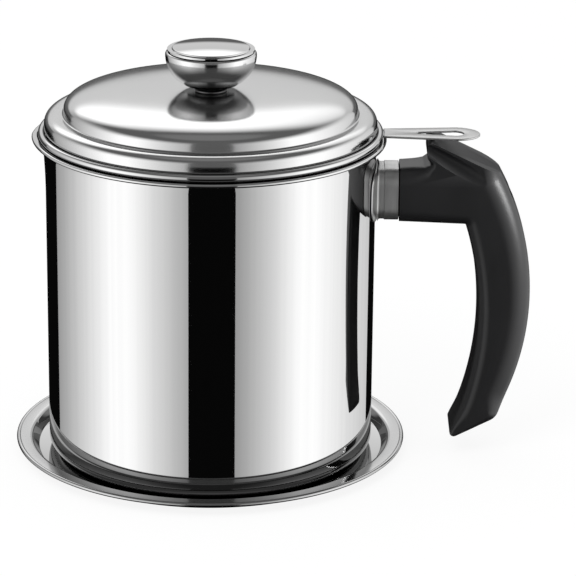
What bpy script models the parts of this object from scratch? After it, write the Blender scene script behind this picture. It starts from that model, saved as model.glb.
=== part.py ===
"""Bacon grease container: a stainless pot on a drip tray, with a lift-out strainer and a lid.

The pot's axis is Z and the handle points along +X. The origin is the centre of the tray's
underside, on the table. All lengths are metres. Sheet-metal pieces are turned outlines, the
handle is a moulding lofted along its side outline, and small parts are turned or extruded.
"""
import math

import bmesh
import bpy
from mathutils import Matrix, Vector

# Counts and angles
ROUND_SEGMENTS = 40
SMALL_SEGMENTS = 24
FILLET_STEPS = 2
BEAD_STEPS = 6
CURVE_STEPS = 8
LONG_CURVE_STEPS = 10
HEX_SIDES = 6
FULL_TURN = 2 * math.pi
HALF_TURN = math.pi
QUARTER_TURN = math.pi / 2
SHARP_ANGLE = math.radians(32)

# Clearances and tolerances
SEAT_GAP = 0.0003
CUT_OVERRUN = 0.002
MERGE_DISTANCE = 0.000005
BEAD_NECK_SHARE = 1.5
HEAD_FACE_SHARE = 0.75

# Pot
POT_SHEET = 0.0007
POT_RADIUS = 0.0600
POT_RIM_WIDTH = 0.0037
POT_RIM_RADIUS = POT_RADIUS + POT_RIM_WIDTH
POT_HEIGHT = 0.11845
POT_BASE_BEND_RADIUS = 0.0045
POT_FOOT_WIDTH = 0.0120
POT_RECESS_RADIUS = POT_RADIUS - POT_FOOT_WIDTH
POT_RECESS_HEIGHT = 0.0010
POT_RECESS_SLOPE = 0.0015
POT_FLARE_RADIUS = 0.0018
POT_BEAD_RADIUS = 0.00075
SPOUT_REACH = 0.0013
SPOUT_DEPTH = 0.0220
SPOUT_HALF_ANGLE = math.radians(24)

# Drip tray
TRAY_SHEET = 0.0007
TRAY_SIDE_CLEARANCE = 0.0043
TRAY_SLOPE_WIDTH = 0.0026
TRAY_FLANGE_WIDTH = 0.0053
TRAY_FLOOR_RADIUS = POT_RADIUS + TRAY_SIDE_CLEARANCE
TRAY_FLANGE_RADIUS = TRAY_FLOOR_RADIUS + TRAY_SLOPE_WIDTH
TRAY_RADIUS = TRAY_FLANGE_RADIUS + TRAY_FLANGE_WIDTH
TRAY_DEPTH = 0.0040
TRAY_BEND_RADIUS = 0.0010
TRAY_BEAD_RADIUS = 0.0008
TRAY_BEAD_DROP = 0.0005

# Strainer
STRAINER_SHEET = 0.0006
STRAINER_SIDE_CLEARANCE = 0.0014
STRAINER_FLANGE_WIDTH = 0.0046
STRAINER_TAPER_WIDTH = 0.0071
STRAINER_LEDGE_WIDTH = 0.0068
STRAINER_WALL_RADIUS = POT_RADIUS - POT_SHEET - STRAINER_SIDE_CLEARANCE
STRAINER_RADIUS = STRAINER_WALL_RADIUS + STRAINER_FLANGE_WIDTH
STRAINER_TAPER_RADIUS = STRAINER_WALL_RADIUS - STRAINER_TAPER_WIDTH
STRAINER_OPENING_RADIUS = STRAINER_TAPER_RADIUS - STRAINER_LEDGE_WIDTH
STRAINER_BEAD_RADIUS = 0.0013
STRAINER_WALL_DEPTH = 0.0170
STRAINER_TAPER_DEPTH = 0.0060
STRAINER_BEND_RADIUS = 0.0015
MESH_THICKNESS = 0.0005
MESH_EDGE_CLEARANCE = 0.0033
MESH_RADIUS = STRAINER_TAPER_RADIUS - MESH_EDGE_CLEARANCE
MESH_PITCH = 0.0066
MESH_BAR = 0.0013
MESH_RING_WIDTH = 0.0036
MESH_RING_THICKNESS = 0.0008

# Strainer tab
TAB_THICKNESS = 0.0008
TAB_LENGTH = 0.0350
TAB_REACH = STRAINER_RADIUS + TAB_LENGTH
TAB_ROOT_WIDTH = 0.0104
TAB_END_WIDTH = 0.0158
TAB_END_LENGTH = 0.0090
TAB_WIDEST_REACH = TAB_REACH - TAB_END_LENGTH
SLOT_MARGIN = 0.0059
SLOT_LENGTH = 0.0171
SLOT_END_REACH = TAB_REACH - SLOT_MARGIN
SLOT_START_REACH = SLOT_END_REACH - SLOT_LENGTH
SLOT_START_WIDTH = 0.0024
SLOT_END_WIDTH = 0.0066

# Lid
LID_SHEET = 0.0006
LID_OVERHANG = 0.0024
LID_EDGE_WIDTH = 0.0036
LID_TUCK_WIDTH = 0.0026
LID_VALLEY_WIDTH = 0.0032
LID_DOME_MARGIN = 0.0002
LID_RADIUS = STRAINER_WALL_RADIUS + LID_OVERHANG
LID_SHOULDER_RADIUS = LID_RADIUS - LID_EDGE_WIDTH
LID_TUCK_RADIUS = LID_RADIUS - LID_TUCK_WIDTH
LID_VALLEY_RADIUS = LID_SHOULDER_RADIUS - LID_VALLEY_WIDTH
LID_DOME_RADIUS = LID_VALLEY_RADIUS - LID_DOME_MARGIN
LID_WIDEST_HEIGHT = 0.00335
LID_SHOULDER_HEIGHT = 0.00785
LID_VALLEY_DEPTH = 0.0009
LID_VALLEY_BEND = 0.0005
LID_DOME_HEIGHT = 0.0095
LID_DOME_POWER = 3.35
LID_PLUG_CLEARANCE = 0.0007
LID_PLUG_DEPTH = 0.0085

# Knob
KNOB_SHEET = 0.0006
KNOB_RADIUS = 0.0165
KNOB_BOWL_DEPTH = 0.0133
KNOB_BASE_RADIUS = 0.0093
KNOB_RIM_HEIGHT = 0.0013
KNOB_RIM_BEND = 0.0005
KNOB_RIM_WIDTH = 0.0014
KNOB_CAP_FLANGE_WIDTH = 0.0007
KNOB_CAP_EDGE_WIDTH = 0.0020
KNOB_CAP_FACE_RADIUS = KNOB_RADIUS - KNOB_CAP_EDGE_WIDTH
KNOB_CAP_HEIGHT = 0.0009
KNOB_CAP_CROWN = 0.0005
COLLAR_THICKNESS = 0.0007
COLLAR_INSET = 0.0035
KNOB_SCREW_RADIUS = 0.0020
KNOB_SCREW_HEAD_RADIUS = 0.0038
KNOB_SCREW_HEAD_HEIGHT = 0.0022
KNOB_WASHER_RADIUS = 0.0055
KNOB_WASHER_THICKNESS = 0.0008
KNOB_INSERT_RADIUS = 0.0045
KNOB_INSERT_HEIGHT = 0.0085
KNOB_INSERT_ROOF = 0.0020

# Handle
HANDLE_DROP = 0.0200
LEG_STANDOFF = 0.0086
LEG_START_REACH = POT_RADIUS + LEG_STANDOFF
LEG_START_HEIGHT = 0.0204
LEG_END_DROP = 0.0004
LEG_END_RISE = 0.0006
GRIP_HALF_WIDTH = 0.0105
LEG_LENGTH = 0.02965
GRIP_DEPTH = 0.0192
GRIP_INNER_REACH = LEG_START_REACH + LEG_LENGTH
GRIP_OUTER_REACH = GRIP_INNER_REACH + GRIP_DEPTH
GRIP_INNER_BOW_RADIUS = 0.1140
GRIP_INNER_BOW_DROP = 0.04545
GRIP_OUTER_BOW_RADIUS = 0.09945
GRIP_OUTER_BOW_DROP = 0.0392
GRIP_TIP_DROP = 0.0940
GRIP_TIP_RISE = 0.0084
GRIP_TIP_BEND = 0.0052
GRIP_INNER_TIP_ROUNDING = 0.0016
GRIP_OUTER_TIP_ROUNDING = 0.0055
RAMP_SETBACK = 0.0114
RAMP_TIP_REACH = LEG_START_REACH + RAMP_SETBACK
RAMP_CORNER_RISE = 0.00855
NUB_OVERHANG = 0.0017
NUB_NOTCH_DEPTH = 0.0016
NUB_FRONT_REACH = RAMP_TIP_REACH - NUB_OVERHANG
NUB_NOTCH_REACH = NUB_FRONT_REACH + NUB_NOTCH_DEPTH
NUB_NOTCH_HEIGHT = 0.0014
NUB_LIP_HEIGHT = 0.0040
LEG_EDGE_RADIUS = 0.0060
INNER_EDGE_RADIUS = 0.0045
OUTER_EDGE_RADIUS = 0.0082
INNER_TIP_EDGE_RADIUS = 0.0015
OUTER_TIP_EDGE_RADIUS = 0.0040
NUB_EDGE_RADIUS = 0.0012
EDGE_STEPS = 4
FLUTE_LIP = 0.0007
FLUTE_LENGTH = 0.0265
FLUTE_START_WIDTH = 0.0040
FLUTE_END_WIDTH = 0.0088
FLUTE_DEPTH = 0.0014
FLUTE_FADE_SHARE = 1.1
FLUTE_STATIONS = 6

# Handle fixing
FERRULE_STANDOFF = 0.0030
FERRULE_REACH = POT_RADIUS + FERRULE_STANDOFF
FERRULE_SHEET = 0.0005
FERRULE_STEP = 0.0005
BRACKET_SHEET = 0.0008
SADDLE_HALF_LENGTH = 0.0215
SADDLE_HALF_HEIGHT = 0.0110
BRACKET_PLATE_THICKNESS = 0.0012
BOLT_RADIUS = 0.0025
BOLT_HEAD_RADIUS = 0.0044
BOLT_HEAD_HEIGHT = 0.0030
BOLT_TIP_GAP = 0.0006
BOLT_DRIVE_RADIUS = 0.0016
BOLT_DRIVE_DEPTH = 0.0018
BOLT_HOLE_CLEARANCE = 0.0003
BOLT_WASHER_THICKNESS = 0.0008
COUNTERBORE_RADIUS = 0.0052
COUNTERBORE_SETBACK = 0.0284
COUNTERBORE_FLOOR_REACH = LEG_START_REACH + COUNTERBORE_SETBACK
NUT_HALF_FLATS = 0.0040
NUT_THICKNESS = 0.0034

# Heights that follow from the sizes above, from the table up
TRAY_FLANGE_TOP = TRAY_DEPTH + TRAY_SHEET
POT_BASE = TRAY_SHEET + SEAT_GAP
POT_TOP = POT_BASE + POT_HEIGHT
STRAINER_FLANGE_BASE = POT_TOP + SEAT_GAP
STRAINER_FLANGE_TOP = STRAINER_FLANGE_BASE + STRAINER_SHEET
LID_SEAT = STRAINER_FLANGE_TOP + SEAT_GAP
LID_VALLEY = LID_SEAT + LID_SHOULDER_HEIGHT - LID_VALLEY_DEPTH
LID_TOP = LID_VALLEY + LID_DOME_HEIGHT
COLLAR_BASE = LID_TOP + SEAT_GAP
KNOB_BASE = COLLAR_BASE + COLLAR_THICKNESS + SEAT_GAP
KNOB_RIM_BASE = KNOB_BASE + KNOB_BOWL_DEPTH * math.sqrt(1 - (KNOB_BASE_RADIUS / KNOB_RADIUS) ** 2)
KNOB_RIM_TOP = KNOB_RIM_BASE + KNOB_RIM_HEIGHT
TAB_BASE = STRAINER_FLANGE_BASE + STRAINER_SHEET
RAMP_TIP_HEIGHT = TAB_BASE - SEAT_GAP
HANDLE_AXIS_HEIGHT = POT_TOP - HANDLE_DROP
GRIP_INNER_BOW_HEIGHT = HANDLE_AXIS_HEIGHT - GRIP_INNER_BOW_DROP
GRIP_OUTER_BOW_HEIGHT = HANDLE_AXIS_HEIGHT - GRIP_OUTER_BOW_DROP
GRIP_TIP_HEIGHT = HANDLE_AXIS_HEIGHT - GRIP_TIP_DROP
RAMP_CORNER_HEIGHT = HANDLE_AXIS_HEIGHT + RAMP_CORNER_RISE
LEG_TOP = HANDLE_AXIS_HEIGHT + LEG_START_HEIGHT / 2
LEG_BOTTOM = HANDLE_AXIS_HEIGHT - LEG_START_HEIGHT / 2

STEEL_COLOUR = (0.80, 0.80, 0.79, 1.0)
STEEL_ROUGHNESS = 0.06
SATIN_COLOUR = (0.62, 0.62, 0.61, 1.0)
SATIN_ROUGHNESS = 0.32
BLACK_COLOUR = (0.012, 0.012, 0.013, 1.0)
BLACK_ROUGHNESS = 0.42


def clear_scene():
    for item in list(bpy.data.objects):
        bpy.data.objects.remove(item, do_unlink=True)


def material(name, colour, metallic, roughness):
    made = bpy.data.materials.new(name)
    made.use_nodes = True
    made.diffuse_color = colour
    shader = made.node_tree.nodes["Principled BSDF"]
    shader.inputs["Base Color"].default_value = colour
    shader.inputs["Metallic"].default_value = metallic
    shader.inputs["Roughness"].default_value = roughness
    return made


def place(name, bm, finish):
    """Close up the mesh, point its faces outwards and link it as a named object."""
    bmesh.ops.remove_doubles(bm, verts=bm.verts, dist=MERGE_DISTANCE)
    bmesh.ops.recalc_face_normals(bm, faces=bm.faces)
    mesh = bpy.data.meshes.new(name)
    bm.to_mesh(mesh)
    bm.free()
    mesh.shade_smooth()
    mesh.set_sharp_from_angle(angle=SHARP_ANGLE)
    made = bpy.data.objects.new(name, mesh)
    made.data.materials.append(finish)
    bpy.context.scene.collection.objects.link(made)
    return made


def combine(target, other, operation):
    """Add a Boolean and keep the other object as a hidden guide."""
    change = target.modifiers.new(other.name, "BOOLEAN")
    change.operation = operation
    change.solver = "EXACT"
    change.object = other
    other.hide_render = True
    other.display_type = "WIRE"


def arc(centre, radii, start, end, steps):
    """Points on an ellipse from one angle to another, both ends included."""
    turn = (end - start) / steps
    return [(centre[0] + radii[0] * math.cos(start + turn * i),
             centre[1] + radii[1] * math.sin(start + turn * i)) for i in range(steps + 1)]


def filleted(corners):
    """Round a path's corners. Each corner is (across, up, fillet radius)."""
    points = [Vector(corner[:2]) for corner in corners]
    path = [tuple(points[0])]
    for before, here, after, corner in zip(points, points[1:], points[2:], corners[1:]):
        back = (before - here).normalized()
        ahead = (after - here).normalized()
        half = back.angle(ahead) / 2
        if corner[2] == 0:
            path.append(tuple(here))
            continue
        middle = here + (back + ahead).normalized() * (corner[2] / math.sin(half))
        start = here + back * (corner[2] / math.tan(half)) - middle
        turn = start.angle_signed(here + ahead * (corner[2] / math.tan(half)) - middle)
        first = math.atan2(start.y, start.x)
        path += arc(middle, (corner[2], corner[2]), first, first - turn, FILLET_STEPS)
    path.append(tuple(points[-1]))
    return path


def beside(path, distance):
    """The path moved sideways by a distance, to its left where the distance is positive."""
    points = [Vector(point) for point in path]
    moved = []
    for i, here in enumerate(points):
        before = here - points[i - 1] if i > 0 else points[1] - here
        after = points[i + 1] - here if i + 1 < len(points) else before
        one = Vector((-before.y, before.x)).normalized()
        two = Vector((-after.y, after.x)).normalized()
        middle = (one + two).normalized()
        moved.append(tuple(here + middle * (distance / middle.dot(one))))
    return moved


def sheet(path, thickness):
    """A closed outline of sheet metal: the path, and the path moved to its left."""
    return path + beside(path, thickness)[::-1]


def bead(centre, radius, lower, upper):
    """A rolled edge, from the sheet's lower side round to its upper side."""
    start = HALF_TURN - math.asin(max(-1, (lower - centre[1]) / radius))
    end = FULL_TURN + HALF_TURN - math.asin(min(1, (upper - centre[1]) / radius))
    return arc(centre, (radius, radius), start, end, BEAD_STEPS)


def turned(name, outline, finish, segments=ROUND_SEGMENTS):
    """Spin an outline of (radius, height) points round the pot's axis."""
    bm = bmesh.new()
    verts = [bm.verts.new((radius, 0, height)) for radius, height in outline]
    on_axis = outline[0][0] == 0 and outline[-1][0] == 0
    pairs = list(zip(verts, verts[1:]))
    if not on_axis:
        pairs.append((verts[-1], verts[0]))
    edges = [bm.edges.new(pair) for pair in pairs]
    bmesh.ops.spin(bm, geom=verts + edges, cent=(0, 0, 0), axis=(0, 0, 1), dvec=(0, 0, 0),
                   angle=FULL_TURN, steps=segments, use_merge=True)
    return place(name, bm, finish)


def turned_along_x(name, outline, finish, height, segments=SMALL_SEGMENTS):
    """Spin an outline of (radius, reach) points round an axis that runs out along the handle."""
    made = turned(name, [(radius, reach) for radius, reach in outline], finish, segments)
    made.data.transform(Matrix.Rotation(QUARTER_TURN, 4, "Y"))
    made.location = (0, 0, height)
    return made


def rounded_box_ring(half_width, half_height, radius):
    """Points (across, up) round a box section with rounded corners."""
    ring = []
    for quarter, (side, level) in enumerate(((1, 1), (-1, 1), (-1, -1), (1, -1))):
        centre = (side * (half_width - radius), level * (half_height - radius))
        start = QUARTER_TURN * quarter
        ring += arc(centre, (radius, radius), start, start + QUARTER_TURN, EDGE_STEPS)
    return ring


def extruded_along_x(name, ring, start, end, finish, height):
    """A solid prism with the given section, from one reach to another."""
    bm = bmesh.new()
    near = [bm.verts.new((start, across, height + up)) for across, up in ring]
    face = bm.faces.new(near)
    grown = bmesh.ops.extrude_face_region(bm, geom=[face])["geom"]
    moved = [item for item in grown if isinstance(item, bmesh.types.BMVert)]
    bmesh.ops.translate(bm, verts=moved, vec=(end - start, 0, 0))
    return place(name, bm, finish)


def extruded_up(name, ring, base, top, finish):
    """A solid plate with the given plan outline, from one height to another."""
    bm = bmesh.new()
    face = bm.faces.new([bm.verts.new((x, y, base)) for x, y in ring])
    grown = bmesh.ops.extrude_face_region(bm, geom=[face])["geom"]
    moved = [item for item in grown if isinstance(item, bmesh.types.BMVert)]
    bmesh.ops.translate(bm, verts=moved, vec=(0, 0, top - base))
    return place(name, bm, finish)


def grip_outline():
    """The handle's side outline, as (reach, height, edge radius), from the leg's underside round."""
    inner = (GRIP_INNER_REACH - GRIP_INNER_BOW_RADIUS, GRIP_INNER_BOW_HEIGHT)
    outer = (GRIP_OUTER_REACH - GRIP_OUTER_BOW_RADIUS, GRIP_OUTER_BOW_HEIGHT)
    tip_inner = GRIP_TIP_HEIGHT + GRIP_TIP_BEND
    tip_outer = tip_inner + GRIP_TIP_RISE

    def on_bow(centre, radius, height):
        return math.asin((height - centre[1]) / radius)

    def run_on(centre, point, height):
        """Where the bow's tangent at a point comes to a height."""
        slope = (centre[1] - point[1]) / (point[0] - centre[0])
        return point[0] - slope * (point[1] - height)

    inside = arc(inner, (GRIP_INNER_BOW_RADIUS, GRIP_INNER_BOW_RADIUS),
                 on_bow(inner, GRIP_INNER_BOW_RADIUS, LEG_BOTTOM - LEG_END_DROP),
                 on_bow(inner, GRIP_INNER_BOW_RADIUS, tip_inner), CURVE_STEPS)
    outside = arc(outer, (GRIP_OUTER_BOW_RADIUS, GRIP_OUTER_BOW_RADIUS),
                  on_bow(outer, GRIP_OUTER_BOW_RADIUS, tip_outer),
                  on_bow(outer, GRIP_OUTER_BOW_RADIUS, RAMP_CORNER_HEIGHT), LONG_CURVE_STEPS)
    outer_foot = GRIP_TIP_HEIGHT + GRIP_TIP_RISE
    tip = filleted([inside[-1],
                    (run_on(inner, inside[-1], GRIP_TIP_HEIGHT), GRIP_TIP_HEIGHT,
                     GRIP_INNER_TIP_ROUNDING),
                    (run_on(outer, outside[0], outer_foot), outer_foot, GRIP_OUTER_TIP_ROUNDING),
                    outside[0]])[1:-1]
    neck_top = LEG_TOP + LEG_END_RISE
    nub = [(RAMP_TIP_REACH, RAMP_TIP_HEIGHT),
           (NUB_FRONT_REACH, RAMP_TIP_HEIGHT - NUB_EDGE_RADIUS),
           (NUB_FRONT_REACH, neck_top + NUB_LIP_HEIGHT),
           (NUB_NOTCH_REACH, neck_top + NUB_NOTCH_HEIGHT)]
    outline = [(LEG_START_REACH, LEG_BOTTOM, LEG_EDGE_RADIUS)]
    outline += [point + (INNER_EDGE_RADIUS,) for point in inside[:-1]]
    outline += [inside[-1] + ((INNER_EDGE_RADIUS + INNER_TIP_EDGE_RADIUS) / 2,)]
    outline += [point + (INNER_TIP_EDGE_RADIUS,) for point in tip[:FILLET_STEPS + 1]]
    outline += [point + (OUTER_TIP_EDGE_RADIUS,) for point in tip[FILLET_STEPS + 1:]]
    outline += [outside[0] + ((OUTER_EDGE_RADIUS + OUTER_TIP_EDGE_RADIUS) / 2,)]
    outline += [point + (OUTER_EDGE_RADIUS,) for point in outside[1:]]
    outline += [point + (NUB_EDGE_RADIUS,) for point in nub]
    outline += [(NUB_FRONT_REACH - NUB_EDGE_RADIUS, neck_top, LEG_EDGE_RADIUS),
                (LEG_START_REACH, LEG_TOP, LEG_EDGE_RADIUS)]
    return outline


def inward_steps(outline):
    """For each outline point, the step that keeps both its sides an equal distance away."""
    flat = [point[:2] for point in outline]
    moved = beside(flat, 1)
    steps = [Vector(after) - Vector(before) for before, after in zip(flat, moved)]
    steps[0] = Vector((0, 1))
    steps[-1] = Vector((0, -1))
    heights = [point[1] for point in flat]
    tip = heights.index(RAMP_TIP_HEIGHT)
    down = (Vector(flat[tip]) - Vector(flat[tip - 1])).normalized()
    outer_edge = (Vector(flat[tip - 1]) - Vector(flat[tip - 2])).normalized()
    outer_normal = Vector((-outer_edge.y, outer_edge.x))
    steps[tip - 1] = down / down.dot(outer_normal)
    steps[tip] = -down
    return steps


def loft_grip(black):
    """Carry a rounded edge round the outline, and close the two flat sides and the leg's end."""
    outline = grip_outline()
    bm = bmesh.new()
    rings = []
    for (reach, height, radius), step in zip(outline, inward_steps(outline)):
        ring = []
        for side in (-1, 1):
            turns = range(EDGE_STEPS + 1)[::side]
            for turn in turns:
                angle = QUARTER_TURN * turn / EDGE_STEPS
                spot = Vector((reach, height)) + step * (radius * (1 - math.cos(angle)))
                across = side * (GRIP_HALF_WIDTH - radius * (1 - math.sin(angle)))
                ring.append(bm.verts.new((spot.x, across, spot.y)))
        rings.append(ring)
    for one, two in zip(rings, rings[1:]):
        for a, b, c, d in zip(one, two, two[1:], one[1:]):
            bm.faces.new((a, b, c, d))
    bm.faces.new([ring[0] for ring in rings])
    bm.faces.new([ring[-1] for ring in rings][::-1])
    bm.faces.new(rings[0] + rings[-1][::-1])
    return place("handle_grip", bm, black)


def cut_flute(grip, side, black):
    """Hollow out one side under the thumb rest, which leaves the ramp a thin lip.

    The tool is a row of widening circles whose centres lie outside the flat side, further out
    towards its end, where it leaves the side.
    """
    flat = [point[:2] for point in grip_outline()]
    tip = [point[1] for point in flat].index(RAMP_TIP_HEIGHT)
    start = Vector(flat[tip])
    along = (Vector(flat[tip - 1]) - start).normalized()
    below = Vector((along.y, -along.x))
    bm = bmesh.new()
    rings = []
    for station in range(FLUTE_STATIONS + 1):
        share = station / FLUTE_STATIONS
        width = FLUTE_START_WIDTH + (FLUTE_END_WIDTH - FLUTE_START_WIDTH) * share
        radius = ((width / 2) ** 2 + FLUTE_DEPTH ** 2) / (2 * FLUTE_DEPTH)
        depth = FLUTE_DEPTH * (1 - FLUTE_FADE_SHARE * share ** 2)
        run = FLUTE_LENGTH * share - CUT_OVERRUN * (1 - share)
        middle = start + along * run + below * (FLUTE_LIP + width / 2)
        centre = (0, GRIP_HALF_WIDTH - depth + radius)
        ring = []
        for down, out in arc(centre, (radius, radius), 0, FULL_TURN, SMALL_SEGMENTS)[:-1]:
            spot = middle + below * down
            ring.append(bm.verts.new((spot.x, side * out, spot.y)))
        rings.append(ring)
    for one, two in zip(rings, rings[1:]):
        for a, b, c, d in zip(one, two, two[1:] + two[:1], one[1:] + one[:1]):
            bm.faces.new((a, b, c, d))
    bm.faces.new(rings[0])
    bm.faces.new(rings[-1])
    combine(grip, place("flute_tool", bm, black), "DIFFERENCE")


def make_grip(black):
    """The moulded handle, with a stepped hole along the leg for its bolt."""
    grip = loft_grip(black)
    cut_flute(grip, -1, black)
    cut_flute(grip, 1, black)
    hole = BOLT_RADIUS + BOLT_HOLE_CLEARANCE
    start = LEG_START_REACH - CUT_OVERRUN
    end = GRIP_OUTER_REACH + CUT_OVERRUN
    cutter = turned_along_x("grip_bore", [(0, start), (hole, start),
                                          (hole, COUNTERBORE_FLOOR_REACH),
                                          (COUNTERBORE_RADIUS, COUNTERBORE_FLOOR_REACH),
                                          (COUNTERBORE_RADIUS, end), (0, end)],
                            black, HANDLE_AXIS_HEIGHT)
    combine(grip, cutter, "DIFFERENCE")


def make_bracket(steel, satin):
    """A saddle on the pot's wall, a hollow neck welded to it, and a nut behind the neck's end."""
    neck_half_width = GRIP_HALF_WIDTH - FERRULE_STEP - FERRULE_SHEET - SEAT_GAP
    neck_half_height = LEG_START_HEIGHT / 2 - FERRULE_STEP - FERRULE_SHEET - SEAT_GAP
    corner = LEG_EDGE_RADIUS - FERRULE_STEP - FERRULE_SHEET - SEAT_GAP
    inner = POT_RADIUS + SEAT_GAP
    outer = inner + BRACKET_SHEET
    low = HANDLE_AXIS_HEIGHT - SADDLE_HALF_HEIGHT - CUT_OVERRUN
    high = HANDLE_AXIS_HEIGHT + SADDLE_HALF_HEIGHT + CUT_OVERRUN
    bracket = turned("handle_bracket", [(0, low), (outer, low), (outer, high), (0, high)],
                     steel, ROUND_SEGMENTS * 2)
    oval = arc((0, 0), (SADDLE_HALF_LENGTH, SADDLE_HALF_HEIGHT), 0, FULL_TURN, SMALL_SEGMENTS)[:-1]
    side = extruded_along_x("saddle_outline", oval, SADDLE_HALF_LENGTH, outer + CUT_OVERRUN,
                            steel, HANDLE_AXIS_HEIGHT)
    combine(bracket, side, "INTERSECT")

    start = inner - SADDLE_HALF_LENGTH / 2
    end = LEG_START_REACH - SEAT_GAP
    neck = extruded_along_x("neck_block", rounded_box_ring(neck_half_width, neck_half_height, corner),
                            start, end, steel, HANDLE_AXIS_HEIGHT)
    combine(bracket, neck, "UNION")
    hollow = extruded_along_x("neck_hollow",
                              rounded_box_ring(neck_half_width - BRACKET_SHEET,
                                               neck_half_height - BRACKET_SHEET,
                                               corner - BRACKET_SHEET),
                              start - CUT_OVERRUN, end - BRACKET_PLATE_THICKNESS,
                              steel, HANDLE_AXIS_HEIGHT)
    combine(bracket, hollow, "DIFFERENCE")
    wall = turned("pot_side", [(0, low - CUT_OVERRUN), (inner, low - CUT_OVERRUN),
                               (inner, high + CUT_OVERRUN), (0, high + CUT_OVERRUN)],
                  steel, ROUND_SEGMENTS * 2)
    combine(bracket, wall, "DIFFERENCE")
    hole = BOLT_RADIUS + BOLT_HOLE_CLEARANCE
    plate = end - BRACKET_PLATE_THICKNESS
    bore = turned_along_x("plate_hole", [(0, plate - CUT_OVERRUN), (hole, plate - CUT_OVERRUN),
                                         (hole, end + CUT_OVERRUN), (0, end + CUT_OVERRUN)],
                          steel, HANDLE_AXIS_HEIGHT)
    combine(bracket, bore, "DIFFERENCE")

    nut_end = plate - SEAT_GAP
    hexagon = arc((0, 0), (NUT_HALF_FLATS / math.cos(HALF_TURN / HEX_SIDES),) * 2,
                  0, FULL_TURN, HEX_SIDES)[:-1]
    nut = extruded_along_x("bracket_nut", hexagon, nut_end - NUT_THICKNESS, nut_end,
                           satin, HANDLE_AXIS_HEIGHT)
    thread = turned_along_x("nut_hole", [(0, nut_end - NUT_THICKNESS - CUT_OVERRUN),
                                         (hole, nut_end - NUT_THICKNESS - CUT_OVERRUN),
                                         (hole, nut_end + CUT_OVERRUN),
                                         (0, nut_end + CUT_OVERRUN)],
                            satin, HANDLE_AXIS_HEIGHT)
    combine(nut, thread, "DIFFERENCE")


def make_ferrule(steel):
    """A thin sleeve over the bracket's neck, up to the handle's leg."""
    half_width = GRIP_HALF_WIDTH - FERRULE_STEP
    half_height = LEG_START_HEIGHT / 2 - FERRULE_STEP
    corner = LEG_EDGE_RADIUS - FERRULE_STEP
    end = LEG_START_REACH - SEAT_GAP
    sleeve = extruded_along_x("handle_ferrule", rounded_box_ring(half_width, half_height, corner),
                              FERRULE_REACH, end, steel, HANDLE_AXIS_HEIGHT)
    inside = extruded_along_x("ferrule_inside",
                              rounded_box_ring(half_width - FERRULE_SHEET,
                                               half_height - FERRULE_SHEET,
                                               corner - FERRULE_SHEET),
                              FERRULE_REACH - CUT_OVERRUN, end + CUT_OVERRUN,
                              steel, HANDLE_AXIS_HEIGHT)
    combine(sleeve, inside, "DIFFERENCE")


def make_bolt(satin):
    """The long bolt through the leg into the nut, and the washer under its head."""
    hole = BOLT_RADIUS + BOLT_HOLE_CLEARANCE
    washer_start = COUNTERBORE_FLOOR_REACH + SEAT_GAP
    washer_end = washer_start + BOLT_WASHER_THICKNESS
    turned_along_x("handle_washer", [(hole, washer_start), (BOLT_HEAD_RADIUS, washer_start),
                                     (BOLT_HEAD_RADIUS, washer_end), (hole, washer_end)],
                   satin, HANDLE_AXIS_HEIGHT)
    seat = washer_end + SEAT_GAP
    top = seat + BOLT_HEAD_HEIGHT
    tip = POT_RADIUS + BRACKET_SHEET + BOLT_TIP_GAP
    turned_along_x("handle_bolt", [(0, tip), (BOLT_RADIUS, tip), (BOLT_RADIUS, seat),
                                   (BOLT_HEAD_RADIUS, seat),
                                   (BOLT_HEAD_RADIUS, top - BOLT_HEAD_HEIGHT / 2),
                                   (BOLT_HEAD_RADIUS * HEAD_FACE_SHARE, top), (BOLT_DRIVE_RADIUS, top),
                                   (BOLT_DRIVE_RADIUS, top - BOLT_DRIVE_DEPTH),
                                   (0, top - BOLT_DRIVE_DEPTH)],
                   satin, HANDLE_AXIS_HEIGHT)


def make_tray(steel):
    """A shallow dish whose flat flange ends in a rolled edge."""
    centre = (TRAY_RADIUS - TRAY_BEAD_RADIUS, TRAY_FLANGE_TOP - TRAY_BEAD_DROP)
    neck = centre[0] - TRAY_BEAD_RADIUS * BEAD_NECK_SHARE
    path = filleted([(0, 0, 0),
                     (TRAY_FLOOR_RADIUS, 0, TRAY_BEND_RADIUS),
                     (TRAY_FLANGE_RADIUS, TRAY_DEPTH, TRAY_BEND_RADIUS),
                     (neck, TRAY_DEPTH, 0)])
    upper = beside(path, TRAY_SHEET)[::-1]
    roll = bead(centre, TRAY_BEAD_RADIUS, TRAY_DEPTH, TRAY_FLANGE_TOP)
    turned("tray", path + roll + upper, steel)


def pull_spout(pot):
    """Push the wall and rim outwards, opposite the handle, into a small pouring lip.

    The push grows with the square of the height and falls away to each side as a cosine squared.
    """
    for vert in pot.data.vertices:
        rise = (vert.co.z - (POT_TOP - SPOUT_DEPTH)) / SPOUT_DEPTH
        off = abs(math.atan2(vert.co.y, -vert.co.x)) / SPOUT_HALF_ANGLE
        if rise <= 0 or off >= 1:
            continue
        push = SPOUT_REACH * rise * rise * math.cos(QUARTER_TURN * off) ** 2
        out = Vector((vert.co.x, vert.co.y, 0)).normalized()
        vert.co += out * push


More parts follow.
